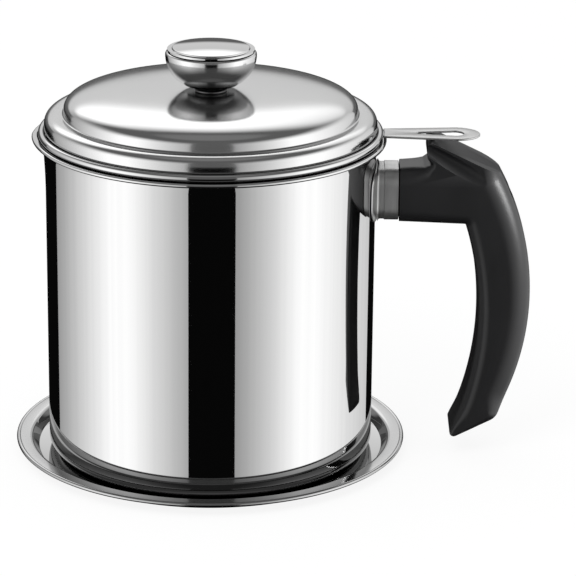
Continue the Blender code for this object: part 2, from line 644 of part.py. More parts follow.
def make_pot(steel):
    """A drawn pot: recessed base, straight wall, flared mouth with a rolled edge, and a lip."""
    recess = POT_BASE + POT_RECESS_HEIGHT
    under_flange = POT_TOP - POT_SHEET
    centre = (POT_RIM_RADIUS - POT_BEAD_RADIUS, POT_TOP - POT_BEAD_RADIUS)
    neck = centre[0] - POT_BEAD_RADIUS * BEAD_NECK_SHARE
    path = filleted([(0, recess, 0),
                     (POT_RECESS_RADIUS - POT_RECESS_SLOPE, recess, 0),
                     (POT_RECESS_RADIUS, POT_BASE, 0),
                     (POT_RADIUS, POT_BASE, POT_BASE_BEND_RADIUS),
                     (POT_RADIUS, POT_TOP - SPOUT_DEPTH, 0),
                     (POT_RADIUS, POT_TOP - SPOUT_DEPTH / 2, 0),
                     (POT_RADIUS, under_flange, POT_FLARE_RADIUS),
                     (neck, under_flange, 0)])
    upper = beside(path, POT_SHEET)[::-1]
    roll = bead(centre, POT_BEAD_RADIUS, under_flange, POT_TOP)
    pot = turned("pot_body", path + roll + upper, steel)
    pull_spout(pot)


def make_strainer(steel, satin):
    """A flanged cup with a rolled edge, stepped in to a ledge that holds the fine mesh."""
    centre = (STRAINER_RADIUS - STRAINER_BEAD_RADIUS, STRAINER_FLANGE_BASE + STRAINER_BEAD_RADIUS)
    neck = centre[0] - STRAINER_BEAD_RADIUS * BEAD_NECK_SHARE
    step = STRAINER_FLANGE_BASE - STRAINER_WALL_DEPTH
    ledge = step - STRAINER_TAPER_DEPTH
    path = filleted([(STRAINER_OPENING_RADIUS, ledge, 0),
                     (STRAINER_TAPER_RADIUS, ledge, STRAINER_BEND_RADIUS),
                     (STRAINER_WALL_RADIUS, step, STRAINER_BEND_RADIUS),
                     (STRAINER_WALL_RADIUS, STRAINER_FLANGE_BASE, STRAINER_SHEET),
                     (neck, STRAINER_FLANGE_BASE, 0)])
    upper = beside(path, STRAINER_SHEET)[::-1]
    roll = bead(centre, STRAINER_BEAD_RADIUS, STRAINER_FLANGE_BASE, STRAINER_FLANGE_TOP)
    turned("strainer_cup", path + roll + upper, steel)
    make_mesh(ledge + STRAINER_SHEET + SEAT_GAP, satin)


def make_mesh(base, satin):
    """The mesh as a flat net of square gaps, under a ring that holds its edge to the ledge."""
    top = base + MESH_THICKNESS
    net = turned("strainer_mesh", [(0, base), (MESH_RADIUS, base), (MESH_RADIUS, top), (0, top)],
                 satin)
    bm = bmesh.new()
    gap = MESH_PITCH - MESH_BAR
    reach = int(STRAINER_OPENING_RADIUS / MESH_PITCH)
    for across in range(-reach, reach + 1):
        for along in range(-reach, reach + 1):
            corner = (abs(across) + 1 / 2) * MESH_PITCH, (abs(along) + 1 / 2) * MESH_PITCH
            if math.hypot(*corner) > STRAINER_OPENING_RADIUS:
                continue
            size = Matrix.Diagonal((gap, gap, MESH_THICKNESS + CUT_OVERRUN, 1))
            spot = Matrix.Translation((across * MESH_PITCH, along * MESH_PITCH, (base + top) / 2))
            bmesh.ops.create_cube(bm, size=1, matrix=spot @ size)
    combine(net, place("net_gaps", bm, satin), "DIFFERENCE")
    inner = MESH_RADIUS - MESH_RING_WIDTH
    low = top + SEAT_GAP
    high = low + MESH_RING_THICKNESS
    turned("mesh_ring", [(inner, low), (MESH_RADIUS, low), (MESH_RADIUS, high), (inner, high)],
           satin)


def tab_outline():
    """The tab in plan: an arc that fits the strainer's edge, widening to a round end."""
    root = STRAINER_RADIUS + SEAT_GAP
    half_angle = math.asin(TAB_ROOT_WIDTH / 2 / root)
    rooted = arc((0, 0), (root, root), half_angle, -half_angle, FILLET_STEPS)
    end = arc((TAB_WIDEST_REACH, 0), (TAB_REACH - TAB_WIDEST_REACH, TAB_END_WIDTH / 2),
              -QUARTER_TURN, QUARTER_TURN, CURVE_STEPS)
    return rooted + end


def slot_outline():
    """The slot in plan: a narrow round end towards the pot and a wide one away from it."""
    narrow = SLOT_START_WIDTH / 2
    wide = SLOT_END_WIDTH / 2
    ring = arc((SLOT_START_REACH + narrow, 0), (narrow, narrow),
               QUARTER_TURN, HALF_TURN + QUARTER_TURN, BEAD_STEPS)
    return ring + arc((SLOT_END_REACH - wide, 0), (wide, wide),
                      -QUARTER_TURN, QUARTER_TURN, BEAD_STEPS)


def make_tab(satin):
    """The strainer's lifting tab, welded to its rolled edge, with a hanging slot."""
    top = TAB_BASE + TAB_THICKNESS
    tab = extruded_up("strainer_tab", tab_outline(), TAB_BASE, top, satin)
    slot = extruded_up("slot_cut", slot_outline(), TAB_BASE - CUT_OVERRUN, top + CUT_OVERRUN, satin)
    combine(tab, slot, "DIFFERENCE")


def dome_path():
    """The lid's crown: a flat middle that turns down faster and faster, on a superellipse."""
    power = 2 / LID_DOME_POWER
    bore = KNOB_SCREW_RADIUS + BOLT_HOLE_CLEARANCE
    path = [(bore, LID_TOP)]
    for i in range(1, CURVE_STEPS):
        turn = QUARTER_TURN * (1 - i / CURVE_STEPS)
        radius = LID_DOME_RADIUS * math.cos(turn) ** power
        path.append((radius, LID_VALLEY + LID_DOME_HEIGHT * math.sin(turn) ** power))
    return path


def make_lid(steel):
    """A pressed lid: crown, valley, rounded edge that seats in the strainer, and a plug wall."""
    shoulder = LID_SEAT + LID_SHOULDER_HEIGHT
    widest = LID_SEAT + LID_WIDEST_HEIGHT
    plug = STRAINER_WALL_RADIUS - STRAINER_SHEET - LID_PLUG_CLEARANCE
    crown = dome_path()
    valley = filleted([crown[-1],
                       (LID_VALLEY_RADIUS, LID_VALLEY, LID_VALLEY_BEND),
                       (LID_SHOULDER_RADIUS, shoulder, 0)])[1:-1]
    edge = arc((LID_SHOULDER_RADIUS, widest), (LID_RADIUS - LID_SHOULDER_RADIUS, shoulder - widest),
               QUARTER_TURN, 0, EDGE_STEPS)
    tuck = arc((LID_TUCK_RADIUS, widest), (LID_RADIUS - LID_TUCK_RADIUS, LID_WIDEST_HEIGHT),
               0, -QUARTER_TURN, EDGE_STEPS)[1:]
    wall = filleted([tuck[-1],
                     (plug, LID_SEAT, LID_SHEET),
                     (plug, LID_SEAT - LID_PLUG_DEPTH, 0)])[1:]
    path = crown + valley + edge + tuck + wall
    turned("lid_shell", sheet(path, -LID_SHEET), steel)


def make_knob(steel, satin):
    """A hollow bowl with a pressed-in cap, on a collar, held by a screw from under the lid."""
    bore = KNOB_SCREW_RADIUS + BOLT_HOLE_CLEARANCE
    start = math.asin(KNOB_BASE_RADIUS / KNOB_RADIUS) - QUARTER_TURN
    side = arc((0, KNOB_RIM_BASE), (KNOB_RADIUS, KNOB_BOWL_DEPTH), start, 0, BEAD_STEPS)
    rim = filleted([side[-1],
                    (KNOB_RADIUS, KNOB_RIM_TOP, KNOB_RIM_BEND),
                    (KNOB_RADIUS - KNOB_RIM_WIDTH, KNOB_RIM_TOP, 0)])[1:]
    turned("knob_bowl", sheet([(bore, KNOB_BASE)] + side + rim, KNOB_SHEET), steel, SMALL_SEGMENTS)

    seat = KNOB_RIM_TOP + SEAT_GAP
    flange = KNOB_RADIUS - KNOB_CAP_FLANGE_WIDTH
    step = seat + KNOB_SHEET
    face = step + KNOB_CAP_HEIGHT
    top = [(KNOB_CAP_FACE_RADIUS * share, face + KNOB_CAP_CROWN * (1 - share * share))
           for share in (0, 1 / 2)]
    top += [(KNOB_CAP_FACE_RADIUS, face),
           (KNOB_CAP_FACE_RADIUS + KNOB_CAP_HEIGHT, step),
           (flange, step)]
    turned("knob_cap", sheet(top, -KNOB_SHEET), steel, SMALL_SEGMENTS)

    collar = KNOB_BASE_RADIUS - COLLAR_INSET
    collar_top = COLLAR_BASE + COLLAR_THICKNESS
    turned("knob_collar", [(bore, COLLAR_BASE), (collar, COLLAR_BASE),
                           (collar, collar_top), (bore, collar_top)], satin, SMALL_SEGMENTS)

    insert_base = KNOB_BASE + KNOB_SHEET + SEAT_GAP
    insert_top = insert_base + KNOB_INSERT_HEIGHT
    under_lid = LID_TOP - LID_SHEET - SEAT_GAP
    washer_base = under_lid - KNOB_WASHER_THICKNESS
    head_top = washer_base - SEAT_GAP
    roof = insert_top - KNOB_INSERT_ROOF
    screw_top = roof - SEAT_GAP
    turned("knob_insert", [(0, roof), (bore, roof), (bore, insert_base),
                           (KNOB_INSERT_RADIUS, insert_base), (KNOB_INSERT_RADIUS, insert_top),
                           (0, insert_top)], satin, SMALL_SEGMENTS)
    turned("knob_washer", [(bore, washer_base), (KNOB_WASHER_RADIUS, washer_base),
                           (KNOB_WASHER_RADIUS, under_lid), (bore, under_lid)],
           satin, SMALL_SEGMENTS)
    head_base = head_top - KNOB_SCREW_HEAD_HEIGHT
    turned("knob_screw", [(0, head_base), (KNOB_SCREW_HEAD_RADIUS * HEAD_FACE_SHARE, head_base),
                          (KNOB_SCREW_HEAD_RADIUS, head_base + KNOB_SCREW_HEAD_HEIGHT / 2),
                          (KNOB_SCREW_HEAD_RADIUS, head_top), (KNOB_SCREW_RADIUS, head_top),
                          (KNOB_SCREW_RADIUS, screw_top), (0, screw_top)], satin, SMALL_SEGMENTS)


def main():
    clear_scene()
    steel = material("polished_steel", STEEL_COLOUR, 1, STEEL_ROUGHNESS)
    satin = material("satin_steel", SATIN_COLOUR, 1, SATIN_ROUGHNESS)
    black = material("black_phenolic", BLACK_COLOUR, 0, BLACK_ROUGHNESS)
    make_tray(steel)
    make_pot(steel)
    make_bracket(steel, satin)
    make_ferrule(steel)
    make_grip(black)
    make_bolt(satin)
    make_strainer(steel, satin)
    make_tab(satin)
    make_lid(steel)
    make_knob(steel, satin)


main()
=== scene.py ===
"""Looks for the bacon grease container: mirror-polished sheet steel, a satin tab and a black
moulded handle, in a plain white studio.

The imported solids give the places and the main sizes. Fine surfaces, worked out with numpy from the
same outlines, take the place of the faceted ones, because polished steel shows every facet.
All lengths are metres, Z is up and the handle points along +X.
"""
import math

import bmesh
import bpy
import numpy as np
from mathutils import Matrix, Vector


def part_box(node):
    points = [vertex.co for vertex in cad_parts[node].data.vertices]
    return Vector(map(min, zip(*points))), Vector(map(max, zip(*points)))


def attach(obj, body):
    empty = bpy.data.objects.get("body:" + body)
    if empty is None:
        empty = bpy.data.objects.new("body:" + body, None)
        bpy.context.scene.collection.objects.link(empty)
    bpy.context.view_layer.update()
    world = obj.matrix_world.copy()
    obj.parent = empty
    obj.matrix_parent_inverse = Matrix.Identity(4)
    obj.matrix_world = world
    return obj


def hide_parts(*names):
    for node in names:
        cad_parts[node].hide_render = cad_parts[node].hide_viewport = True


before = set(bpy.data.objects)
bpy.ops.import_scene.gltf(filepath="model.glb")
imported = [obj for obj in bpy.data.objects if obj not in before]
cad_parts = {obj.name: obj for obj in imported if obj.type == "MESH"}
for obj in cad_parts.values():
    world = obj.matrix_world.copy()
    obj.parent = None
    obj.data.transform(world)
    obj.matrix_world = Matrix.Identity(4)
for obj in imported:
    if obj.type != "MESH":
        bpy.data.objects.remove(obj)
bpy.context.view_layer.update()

TURN = 2 * math.pi
HALF = math.pi
QUARTER = math.pi / 2

# How finely the surfaces are divided
ROUND_STEPS = 240
KNOB_STEPS = 120
SCREW_STEPS = 72
FILLET_STEPS = 6
BEAD_STEPS = 20
CURVE_STEPS = 30
CREASE_ANGLE = math.radians(38)
WELD_DISTANCE = 1e-7
NEAR_ZERO = 1e-6

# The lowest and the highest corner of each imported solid
LOW = {name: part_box(name)[0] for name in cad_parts}
HIGH = {name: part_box(name)[1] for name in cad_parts}

# Places and main sizes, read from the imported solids
TRAY_RADIUS = HIGH["tray"].x
TRAY_TOP = HIGH["tray"].z
POT_BASE = LOW["pot_body"].z
POT_TOP = HIGH["pot_body"].z
POT_RIM_RADIUS = HIGH["pot_body"].y
CUP_RADIUS = HIGH["strainer_cup"].x
CUP_TOP = HIGH["strainer_cup"].z
NET_RADIUS = HIGH["strainer_mesh"].x
NET_MIDDLE = (LOW["strainer_mesh"].z + HIGH["strainer_mesh"].z) / 2
RING_BASE = LOW["mesh_ring"].z
RING_TOP = HIGH["mesh_ring"].z
TAB_BASE = LOW["strainer_tab"].z
TAB_TOP = HIGH["strainer_tab"].z
TAB_END = HIGH["strainer_tab"].x
TAB_HALF_WIDTH = HIGH["strainer_tab"].y
LID_RADIUS = HIGH["lid_shell"].x
LID_BASE = LOW["lid_shell"].z
LID_TOP = HIGH["lid_shell"].z
COLLAR_RADIUS = HIGH["knob_collar"].x
COLLAR_BASE = LOW["knob_collar"].z
COLLAR_TOP = HIGH["knob_collar"].z
KNOB_RADIUS = HIGH["knob_bowl"].x
KNOB_BASE = LOW["knob_bowl"].z
KNOB_RIM_TOP = HIGH["knob_bowl"].z
CAP_RADIUS = HIGH["knob_cap"].x
CAP_TOP = HIGH["knob_cap"].z
GRIP_HALF_WIDTH = HIGH["handle_grip"].y
GRIP_START = LOW["handle_grip"].x
GRIP_OUTER = HIGH["handle_grip"].x
RAMP_TIP_HEIGHT = HIGH["handle_grip"].z
BOLT_AXIS = (LOW["handle_bolt"].z + HIGH["handle_bolt"].z) / 2
BOLT_TIP = LOW["handle_bolt"].x
BOLT_HEAD_TOP = HIGH["handle_bolt"].x
WASHER_START = LOW["handle_washer"].x
WASHER_END = HIGH["handle_washer"].x
FERRULE_START = LOW["handle_ferrule"].x
FERRULE_END = HIGH["handle_ferrule"].x
FERRULE_HALF_WIDTH = HIGH["handle_ferrule"].y
NECK_END = HIGH["handle_bracket"].x
SCREW_HEAD_RADIUS = HIGH["knob_screw"].x
SCREW_HEAD_BASE = LOW["knob_screw"].z
SCREW_TOP = HIGH["knob_screw"].z
SCREW_WASHER_BASE = LOW["knob_washer"].z
SCREW_WASHER_TOP = HIGH["knob_washer"].z
SCREW_WASHER_RADIUS = HIGH["knob_washer"].x

SEAT_GAP = 0.0003

# A flange ends this many bead radii short of the middle of its rolled edge
ROLL_LEAD = 1.5


# Surfaces and outlines


def arc(centre, radii, start, end, steps):
    """Points centre + (a cos t, b sin t), with t going evenly from start to end."""
    t = np.linspace(start, end, steps + 1)
    return np.stack([centre[0] + radii[0] * np.cos(t), centre[1] + radii[1] * np.sin(t)], axis=1)


def rounded(corners, steps=FILLET_STEPS):
    """A path through corners (across, up, fillet), straight between tangent arcs.

    A corner's arc has its centre on the bisector, fillet / sin(half the corner's angle) away,
    and touches both sides fillet / tan(half angle) from the corner.
    """
    points = np.array([corner[:2] for corner in corners], float)
    path = [points[:1]]
    for before, here, after, corner in zip(points, points[1:], points[2:], corners[1:]):
        back = (before - here) / np.linalg.norm(before - here)
        ahead = (after - here) / np.linalg.norm(after - here)
        half = math.acos(np.clip(back @ ahead, -1, 1)) / 2
        if corner[2] == 0 or half > QUARTER - NEAR_ZERO:
            path.append(here[None])
            continue
        middle = back + ahead
        centre = here + middle / np.linalg.norm(middle) * corner[2] / math.sin(half)
        first = here + back * corner[2] / math.tan(half) - centre
        last = here + ahead * corner[2] / math.tan(half) - centre
        start = math.atan2(first[1], first[0])
        turn = math.atan2(first[0] * last[1] - first[1] * last[0], first @ last)
        path.append(arc(centre, (corner[2], corner[2]), start, start + turn, steps))
    return np.vstack(path + [points[-1:]])


def squared(centre, radii, power, steps):
    """Points on the quarter of |x / a|^n + |z / b|^n = 1 round a centre that goes from above it to
    beside it."""
    turn = np.linspace(QUARTER, 0, steps)
    shape = np.stack([np.cos(turn), np.sin(turn)], axis=1).clip(0) ** (2 / power)
    return np.array(centre) + shape * radii


def beside(path, distance):
    """The path moved to its left: each point goes along the sum of its two runs' normals,
    divided by 1 plus their dot product, which keeps both runs the same distance away."""
    run = np.diff(path, axis=0)
    run = run / np.linalg.norm(run, axis=1)[:, None]
    normal = np.stack([-run[:, 1], run[:, 0]], axis=1)
    before = np.vstack([normal[:1], normal])
    after = np.vstack([normal, normal[-1:]])
    scale = distance / (1 + (before * after).sum(axis=1))
    return path + (before + after) * scale[:, None]


def sheet(path, thickness):
    """A closed outline of sheet metal: the path, and back along the path moved to its left. A
    point on the axis stays on it."""
    other = beside(path, thickness)
    other[path[:, 0] == 0, 0] = 0
    return np.vstack([path, other[::-1]])


def rolled_outline(corners, radius, top, bead, flange, thickness):
    """A closed outline of sheet metal through corners, out along a flange at a height, and round
    a rolled edge: the circle from the flange's lower side, under and round, to its upper side."""
    centre = (radius - bead, top - bead)
    path = rounded([*corners, (centre[0] - bead * ROLL_LEAD, flange, 0)])
    start = HALF - math.asin(max(-1, (flange - centre[1]) / bead))
    end = TURN + HALF - math.asin(min(1, (flange + thickness - centre[1]) / bead))
    roll = arc(centre, (bead, bead), start, end, BEAD_STEPS)
    return np.vstack([path, roll, beside(path, thickness)[::-1]])


def lengths_along(path):
    """How far each point of a path lies from its start, measured along it."""
    return np.concatenate([[0], np.cumsum(np.linalg.norm(np.diff(path, axis=0), axis=1))])


def subdivided(path, longest):
    """The path with even extra points wherever two neighbours lie further apart than longest."""
    lengths = np.linalg.norm(np.diff(path, axis=0), axis=1)
    parts = np.maximum(1, np.ceil(lengths / longest).astype(int))
    run = np.repeat(np.arange(len(parts)), parts)
    share = (np.arange(parts.sum()) - np.repeat(np.cumsum(parts) - parts, parts)) / parts[run]
    inner = path[run] + (path[run + 1] - path[run]) * share[:, None]
    return np.vstack([inner, path[-1:]])


def placed(name, data):
    """A new object in the scene, with its mesh, lamp or camera."""
    made = bpy.data.objects.new(name, data)
    bpy.context.scene.collection.objects.link(made)
    return made


def closed_mesh(name, grid, faces, welded=True):
    """A smooth mesh of a grid's places, with its faces turned outwards. In a welded one the points
    that meet at a pole become one, and sharp turns between faces stay creases."""
    mesh = bpy.data.meshes.new(name)
    mesh.from_pydata(grid.reshape(-1, 3), [], faces)
    bm = bmesh.new()
    bm.from_mesh(mesh)
    if welded:
        bmesh.ops.remove_doubles(bm, verts=bm.verts, dist=WELD_DISTANCE)
        bmesh.ops.dissolve_degenerate(bm, dist=WELD_DISTANCE, edges=bm.edges)
    bmesh.ops.recalc_face_normals(bm, faces=bm.faces)
    bm.to_mesh(mesh)
    bm.free()
    mesh.shade_smooth()
    if welded:
        mesh.set_sharp_from_angle(angle=CREASE_ANGLE)
    return placed(name, mesh)


def skin(name, grid, close_rows=True, close_columns=True, caps=()):
    """The quads between neighbouring points of a grid of places, as a closed mesh. Rows and
    columns can each join up with the first one, and caps are lists of point numbers that close
    an open end."""
    rows, columns = grid.shape[:2]
    index = np.arange(rows * columns).reshape(rows, columns)
    if close_rows:
        index = np.vstack([index, index[:1]])
    if close_columns:
        index = np.hstack([index, index[:, :1]])
    quads = np.stack([index[:-1, :-1], index[:-1, 1:], index[1:, 1:], index[1:, :-1]], axis=2)
    return closed_mesh(name, grid, quads.reshape(-1, 4).tolist() + list(caps))


def turned_grid(outline, steps):
    """Point (i, j) is (r_i cos a_j, r_i sin a_j, z_i) for an outline of radii r and heights z."""
    angle = np.arange(steps) * TURN / steps
    r, z = outline[:, 0], outline[:, 1]
    return np.stack([np.outer(r, np.cos(angle)), np.outer(r, np.sin(angle)),
                     np.outer(z, np.ones(steps))], axis=2)


def along_x(grid):
    """A grid round the pot's axis laid along the handle bolt's axis, which runs along X."""
    return grid[..., [2, 0, 1]] + (0, 0, BOLT_AXIS)


def turned(name, outline, steps=ROUND_STEPS, on_bolt=False):
    """A closed outline carried round the pot's axis, or round the handle bolt's."""
    on_axis = outline[0, 0] == 0 and outline[-1, 0] == 0
    grid = turned_grid(outline, steps)
    return skin(name, along_x(grid) if on_bolt else grid, close_rows=not on_axis)


def ring_outline(inner, outer, base, top):
    """The outline of a flat ring, its outer edges rounded by a third of its thickness."""
    ease = (top - base) / 3
    return rounded([(inner, base, 0), (outer, base, ease), (outer, top, ease), (inner, top, 0)])


def shown(piece, body, node, material):
    """Puts its finish on a piece, and has it ride on its body in place of a CAD node."""
    piece.data.materials.append(material)
    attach(piece, body)
    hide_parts(node)


# Finishes


# A Mix node's sockets for two colours and for the colour between them
FIRST_COLOUR = 6
SECOND_COLOUR = 7
MIXED_COLOUR = 2


def finish_nodes(name, metallic):
    """A new material, with its tree and its shader."""
    made = bpy.data.materials.new(name)
    made.use_nodes = True
    shader = made.node_tree.nodes["Principled BSDF"]
    shader.inputs["Metallic"].default_value = metallic
    return made, made.node_tree, shader


def add(tree, kind, **inputs):
    """A node of a kind, with the values of its sockets given by name."""
    node = tree.nodes.new(kind)
    for socket, value in inputs.items():
        node.inputs[socket.replace("_", " ")].default_value = value
    return node


def worked(tree, operation, *values):
    """The result of an arithmetic operation on numbers and sockets."""
    node = tree.nodes.new("ShaderNodeMath")
    node.operation = operation
    for socket, value in zip(node.inputs, values):
        if isinstance(value, (int, float)):
            socket.default_value = value
        else:
            tree.links.new(value, socket)
    return node.outputs[0]


def ramped(tree, value, start, end, low, high, kind="LINEAR"):
    """A value that goes from low to high while another goes from start to end."""
    node = add(tree, "ShaderNodeMapRange", From_Min=start, From_Max=end, To_Min=low, To_Max=high)
    node.interpolation_type = kind
    tree.links.new(value, node.inputs["Value"])
    return node.outputs["Result"]


def noise_at(tree, stretch, scale, detail):
    """Noise on object coordinates, drawn out along the axes with a small stretch."""
    place = tree.nodes.new("ShaderNodeTexCoord")
    mapping = add(tree, "ShaderNodeMapping", Scale=stretch)
    noise = add(tree, "ShaderNodeTexNoise", Scale=scale, Detail=detail)
    tree.links.new(place.outputs["Object"], mapping.inputs["Vector"])
    tree.links.new(mapping.outputs["Vector"], noise.inputs["Vector"])
    return noise.outputs["Fac"]


def coloured(tree, shader, source, low, high):
    """A value from 0 to 1 sets the shader's colour between two."""
    node = tree.nodes.new("ShaderNodeMix")
    node.data_type = "RGBA"
    node.inputs[FIRST_COLOUR].default_value = (*low, 1)
    node.inputs[SECOND_COLOUR].default_value = (*high, 1)
    tree.links.new(source, node.inputs[0])
    tree.links.new(node.outputs[MIXED_COLOUR], shader.inputs["Base Color"])


def bumped(tree, shader, source, strength, depth):
    """A fine relief on the shader's normal."""
    bump = add(tree, "ShaderNodeBump", Strength=strength, Distance=depth)
    tree.links.new(source, bump.inputs["Height"])
    tree.links.new(bump.outputs["Normal"], shader.inputs["Normal"])


def finish(name, metallic, marks, colours, grain, roughness, relief, strength, depth):
    """A finish made of noises, each (stretch, scale, detail): its marks set the colour between
    two, its grain sets the roughness between two values, and its relief is a fine bump."""
    made, tree, shader = finish_nodes(name, metallic)
    noises = {kind: noise_at(tree, *kind) for kind in {marks, grain, relief}}
    coloured(tree, shader, noises[marks], *colours)
    tree.links.new(ramped(tree, noises[grain], 0, 1, *roughness), shader.inputs["Roughness"])
    bumped(tree, shader, noises[relief], strength, depth)
    return made


# Mirror-polished stainless: faint buffing haze, with the sheet's own slight waviness
HAZE = ((1, 1, 1), 55, 3)
HAZE_RELIEF = (0.02, 0.0002)
STEEL = finish("polished_steel", 1, HAZE, ((0.655, 0.655, 0.66), (0.69, 0.69, 0.685)),
               ((1, 1, 0.08), 900, 2), (0.012, 0.030), HAZE, *HAZE_RELIEF)

# Steel buffed a little less, so that its reflections have soft edges
SOFT_HAZE = ((1, 1, 1), 70, 3)
SOFT_GRAIN = ((0.3, 0.3, 1), 1200, 2)
KNOB_STEEL = finish("knob_steel", 1, SOFT_HAZE, ((0.70, 0.70, 0.705), (0.76, 0.76, 0.755)),
                    SOFT_GRAIN, (0.10, 0.16), SOFT_HAZE, *HAZE_RELIEF)
LID_STEEL = finish("lid_steel", 1, SOFT_HAZE, ((0.68, 0.68, 0.685), (0.71, 0.71, 0.705)),
                   SOFT_GRAIN, (0.11, 0.15), SOFT_HAZE, *HAZE_RELIEF)

# Polished stainless that keeps the upright streaks of the rolled sheet it was made from
STREAKS = ((1, 1, 0.004), 420, 4)
DRAWN = finish("drawn_steel", 1, STREAKS, ((0.63, 0.63, 0.635), (0.71, 0.71, 0.705)),
               STREAKS, (0.012, 0.035), STREAKS, 0.05, 0.00005)

# Brushed stainless: fine lines along X, and the light grey that they give
LINES = ((0.05, 1, 1), 2600, 3)
SATIN = finish("satin_steel", 1, LINES, ((0.48, 0.48, 0.48), (0.60, 0.60, 0.595)),
               LINES, (0.26, 0.42), LINES, 0.08, 0.0001)

# The sleeve's dull steel, with upright wiped smudges over fine upright lines
SMUDGES = ((1, 1, 0.28), 260, 3)
UPRIGHT_LINES = ((1, 1, 0.05), 2600, 3)
SMUDGED = finish("smudged_steel", 1, SMUDGES, ((0.42, 0.42, 0.42), (0.80, 0.80, 0.795)),
                 UPRIGHT_LINES, (0.36, 0.52), UPRIGHT_LINES, 0.08, 0.0001)

# Moulded black phenolic: a satin skin with faint flow marks and a fine tumbled grain
FLOW = ((1, 1, 0.35), 60, 4)
TUMBLED = ((1, 1, 1), 1500, 2)
BLACK = finish("black_phenolic", 0, FLOW, ((0.007, 0.007, 0.0075), (0.014, 0.014, 0.015)),
               FLOW, (0.31, 0.42), TUMBLED, 0.12, 0.0001)

# The tray's colours, painted darker as shade, and its roughness inside the first of two radii and
# outside the second
# The dark colours are painted shade: they stand in for the dim surroundings that the tray mirrors
TRAY_SHADED_COLOURS = ((0.46, 0.46, 0.465), (0.50, 0.50, 0.495))
TRAY_ROUGHNESS = (0.02, 0.14)
SATIN_FLANGE = (0.0668, 0.0674)


def shaded_tray_steel():
    """Polished stainless, painted darker than the rest as shade, with a flange that is left satin.
    """
    made, tree, shader = finish_nodes("shaded_tray_steel", 1)
    haze = noise_at(tree, *HAZE)
    # Painted shade: the darker colours stand in for the dim surroundings that the tray mirrors
    coloured(tree, shader, haze, *TRAY_SHADED_COLOURS)
    place = tree.nodes.new("ShaderNodeTexCoord")
    flat = tree.nodes.new("ShaderNodeVectorMath")
    flat.operation = "MULTIPLY"
    flat.inputs[1].default_value = (1, 1, 0)
    radius = tree.nodes.new("ShaderNodeVectorMath")
    radius.operation = "LENGTH"
    tree.links.new(place.outputs["Object"], flat.inputs[0])
    tree.links.new(flat.outputs[0], radius.inputs[0])
    satin = ramped(tree, radius.outputs["Value"], *SATIN_FLANGE, *TRAY_ROUGHNESS)
    tree.links.new(satin, shader.inputs["Roughness"])
    bumped(tree, shader, haze, *HAZE_RELIEF)
    return made


SHADED_TRAY_STEEL = shaded_tray_steel()


# The tray

TRAY_SHEET = 0.0007
TRAY_DEPTH = 0.0040
TRAY_FLOOR_RADIUS = 0.0643
TRAY_FLANGE_RADIUS = 0.0669
TRAY_BEND = 0.0010
TRAY_BEAD = 0.0008
TRAY_RUN = 0.0200


def make_tray():
    """A shallow dish: floor, short slope, flat flange and a rolled edge."""
    outline = rolled_outline([(0, 0, 0), (TRAY_FLOOR_RADIUS, 0, TRAY_BEND),
                              (TRAY_FLANGE_RADIUS, TRAY_DEPTH, TRAY_BEND)],
                             TRAY_RADIUS, TRAY_TOP, TRAY_BEAD, TRAY_DEPTH, TRAY_SHEET)
    shown(turned("tray_dish", subdivided(outline, TRAY_RUN)), "tray", "tray",
          SHADED_TRAY_STEEL)


# The pot

POT_SHEET = 0.0007
POT_RADIUS = 0.0600
POT_BASE_BEND = 0.0045
POT_RECESS_RADIUS = 0.0480
POT_RECESS_HEIGHT = 0.0010
POT_RECESS_SLOPE = 0.0015
POT_FLARE = 0.0018
POT_BEAD = 0.00075
POT_RUN = 0.0020
SPOUT_REACH = 0.0013
SPOUT_DEPTH = 0.0220
SPOUT_HALF_ANGLE = math.radians(24)
SPOUT_NOSE = 0.12
SPOUT_EASE = 1.3
THROAT_REACH = 0.0016
THROAT_DEPTH = 0.0060


def make_pot():
    """A drawn pot with a recessed base and rolled rim. Its lip is a V with a rounded nose of share
    n: it moves outwards by the reach times the square of the height share, times the share
    (1 - sqrt(a^2 + n^2)) / (1 - n) of an angle share a, eased by a power. Its throat is a wall
    that stands up steeply behind the rim."""
    recess = POT_BASE + POT_RECESS_HEIGHT
    flange = POT_TOP - POT_SHEET
    outline = rolled_outline([(0, recess, 0),
                              (POT_RECESS_RADIUS - POT_RECESS_SLOPE, recess, POT_SHEET),
                              (POT_RECESS_RADIUS, POT_BASE, POT_SHEET),
                              (POT_RADIUS, POT_BASE, POT_BASE_BEND),
                              (POT_RADIUS, flange, POT_FLARE)],
                             POT_RIM_RADIUS, POT_TOP, POT_BEAD, flange, POT_SHEET)
    grid = turned_grid(subdivided(outline, POT_RUN), ROUND_STEPS)
    rise = np.clip((grid[..., 2] - (POT_TOP - SPOUT_DEPTH)) / SPOUT_DEPTH, 0, None)
    off = np.abs(np.arctan2(grid[..., 1], -grid[..., 0])) / SPOUT_HALF_ANGLE
    nose = np.clip((1 - np.hypot(off, SPOUT_NOSE)) / (1 - SPOUT_NOSE), 0, 1) ** SPOUT_EASE
    radius = np.linalg.norm(grid[..., :2], axis=2)
    throat = np.clip((grid[..., 2] - (POT_TOP - THROAT_DEPTH)) / THROAT_DEPTH, 0, 1)
    lean = np.clip((POT_RADIUS + POT_FLARE - radius) / POT_FLARE, 0, 1)
    push = SPOUT_REACH * rise ** 2 * nose + THROAT_REACH * throat ** 2 * lean * np.sqrt(nose)
    grid[..., :2] *= 1 + (push / np.maximum(radius, NEAR_ZERO))[..., None]
    shown(skin("pot_shell", grid, close_rows=False), "pot", "pot_body", DRAWN)


# The strainer

CUP_SHEET = 0.0006
CUP_BEAD = 0.0013
CUP_WALL_RADIUS = 0.0579
CUP_STEP_DEPTH = 0.0170
CUP_TAPER_RADIUS = 0.0508
CUP_TAPER_DEPTH = 0.0060
CUP_OPENING_RADIUS = 0.0440
CUP_BEND = 0.0015
CUP_RUN = 0.0040
NET_PITCH = 0.0022
NET_WIRE = 0.00013
NET_WAVE = 0.00012
NET_POINTS_PER_PITCH = 4
NET_WIRE_SIDES = 4
RING_WIDTH = 0.0036


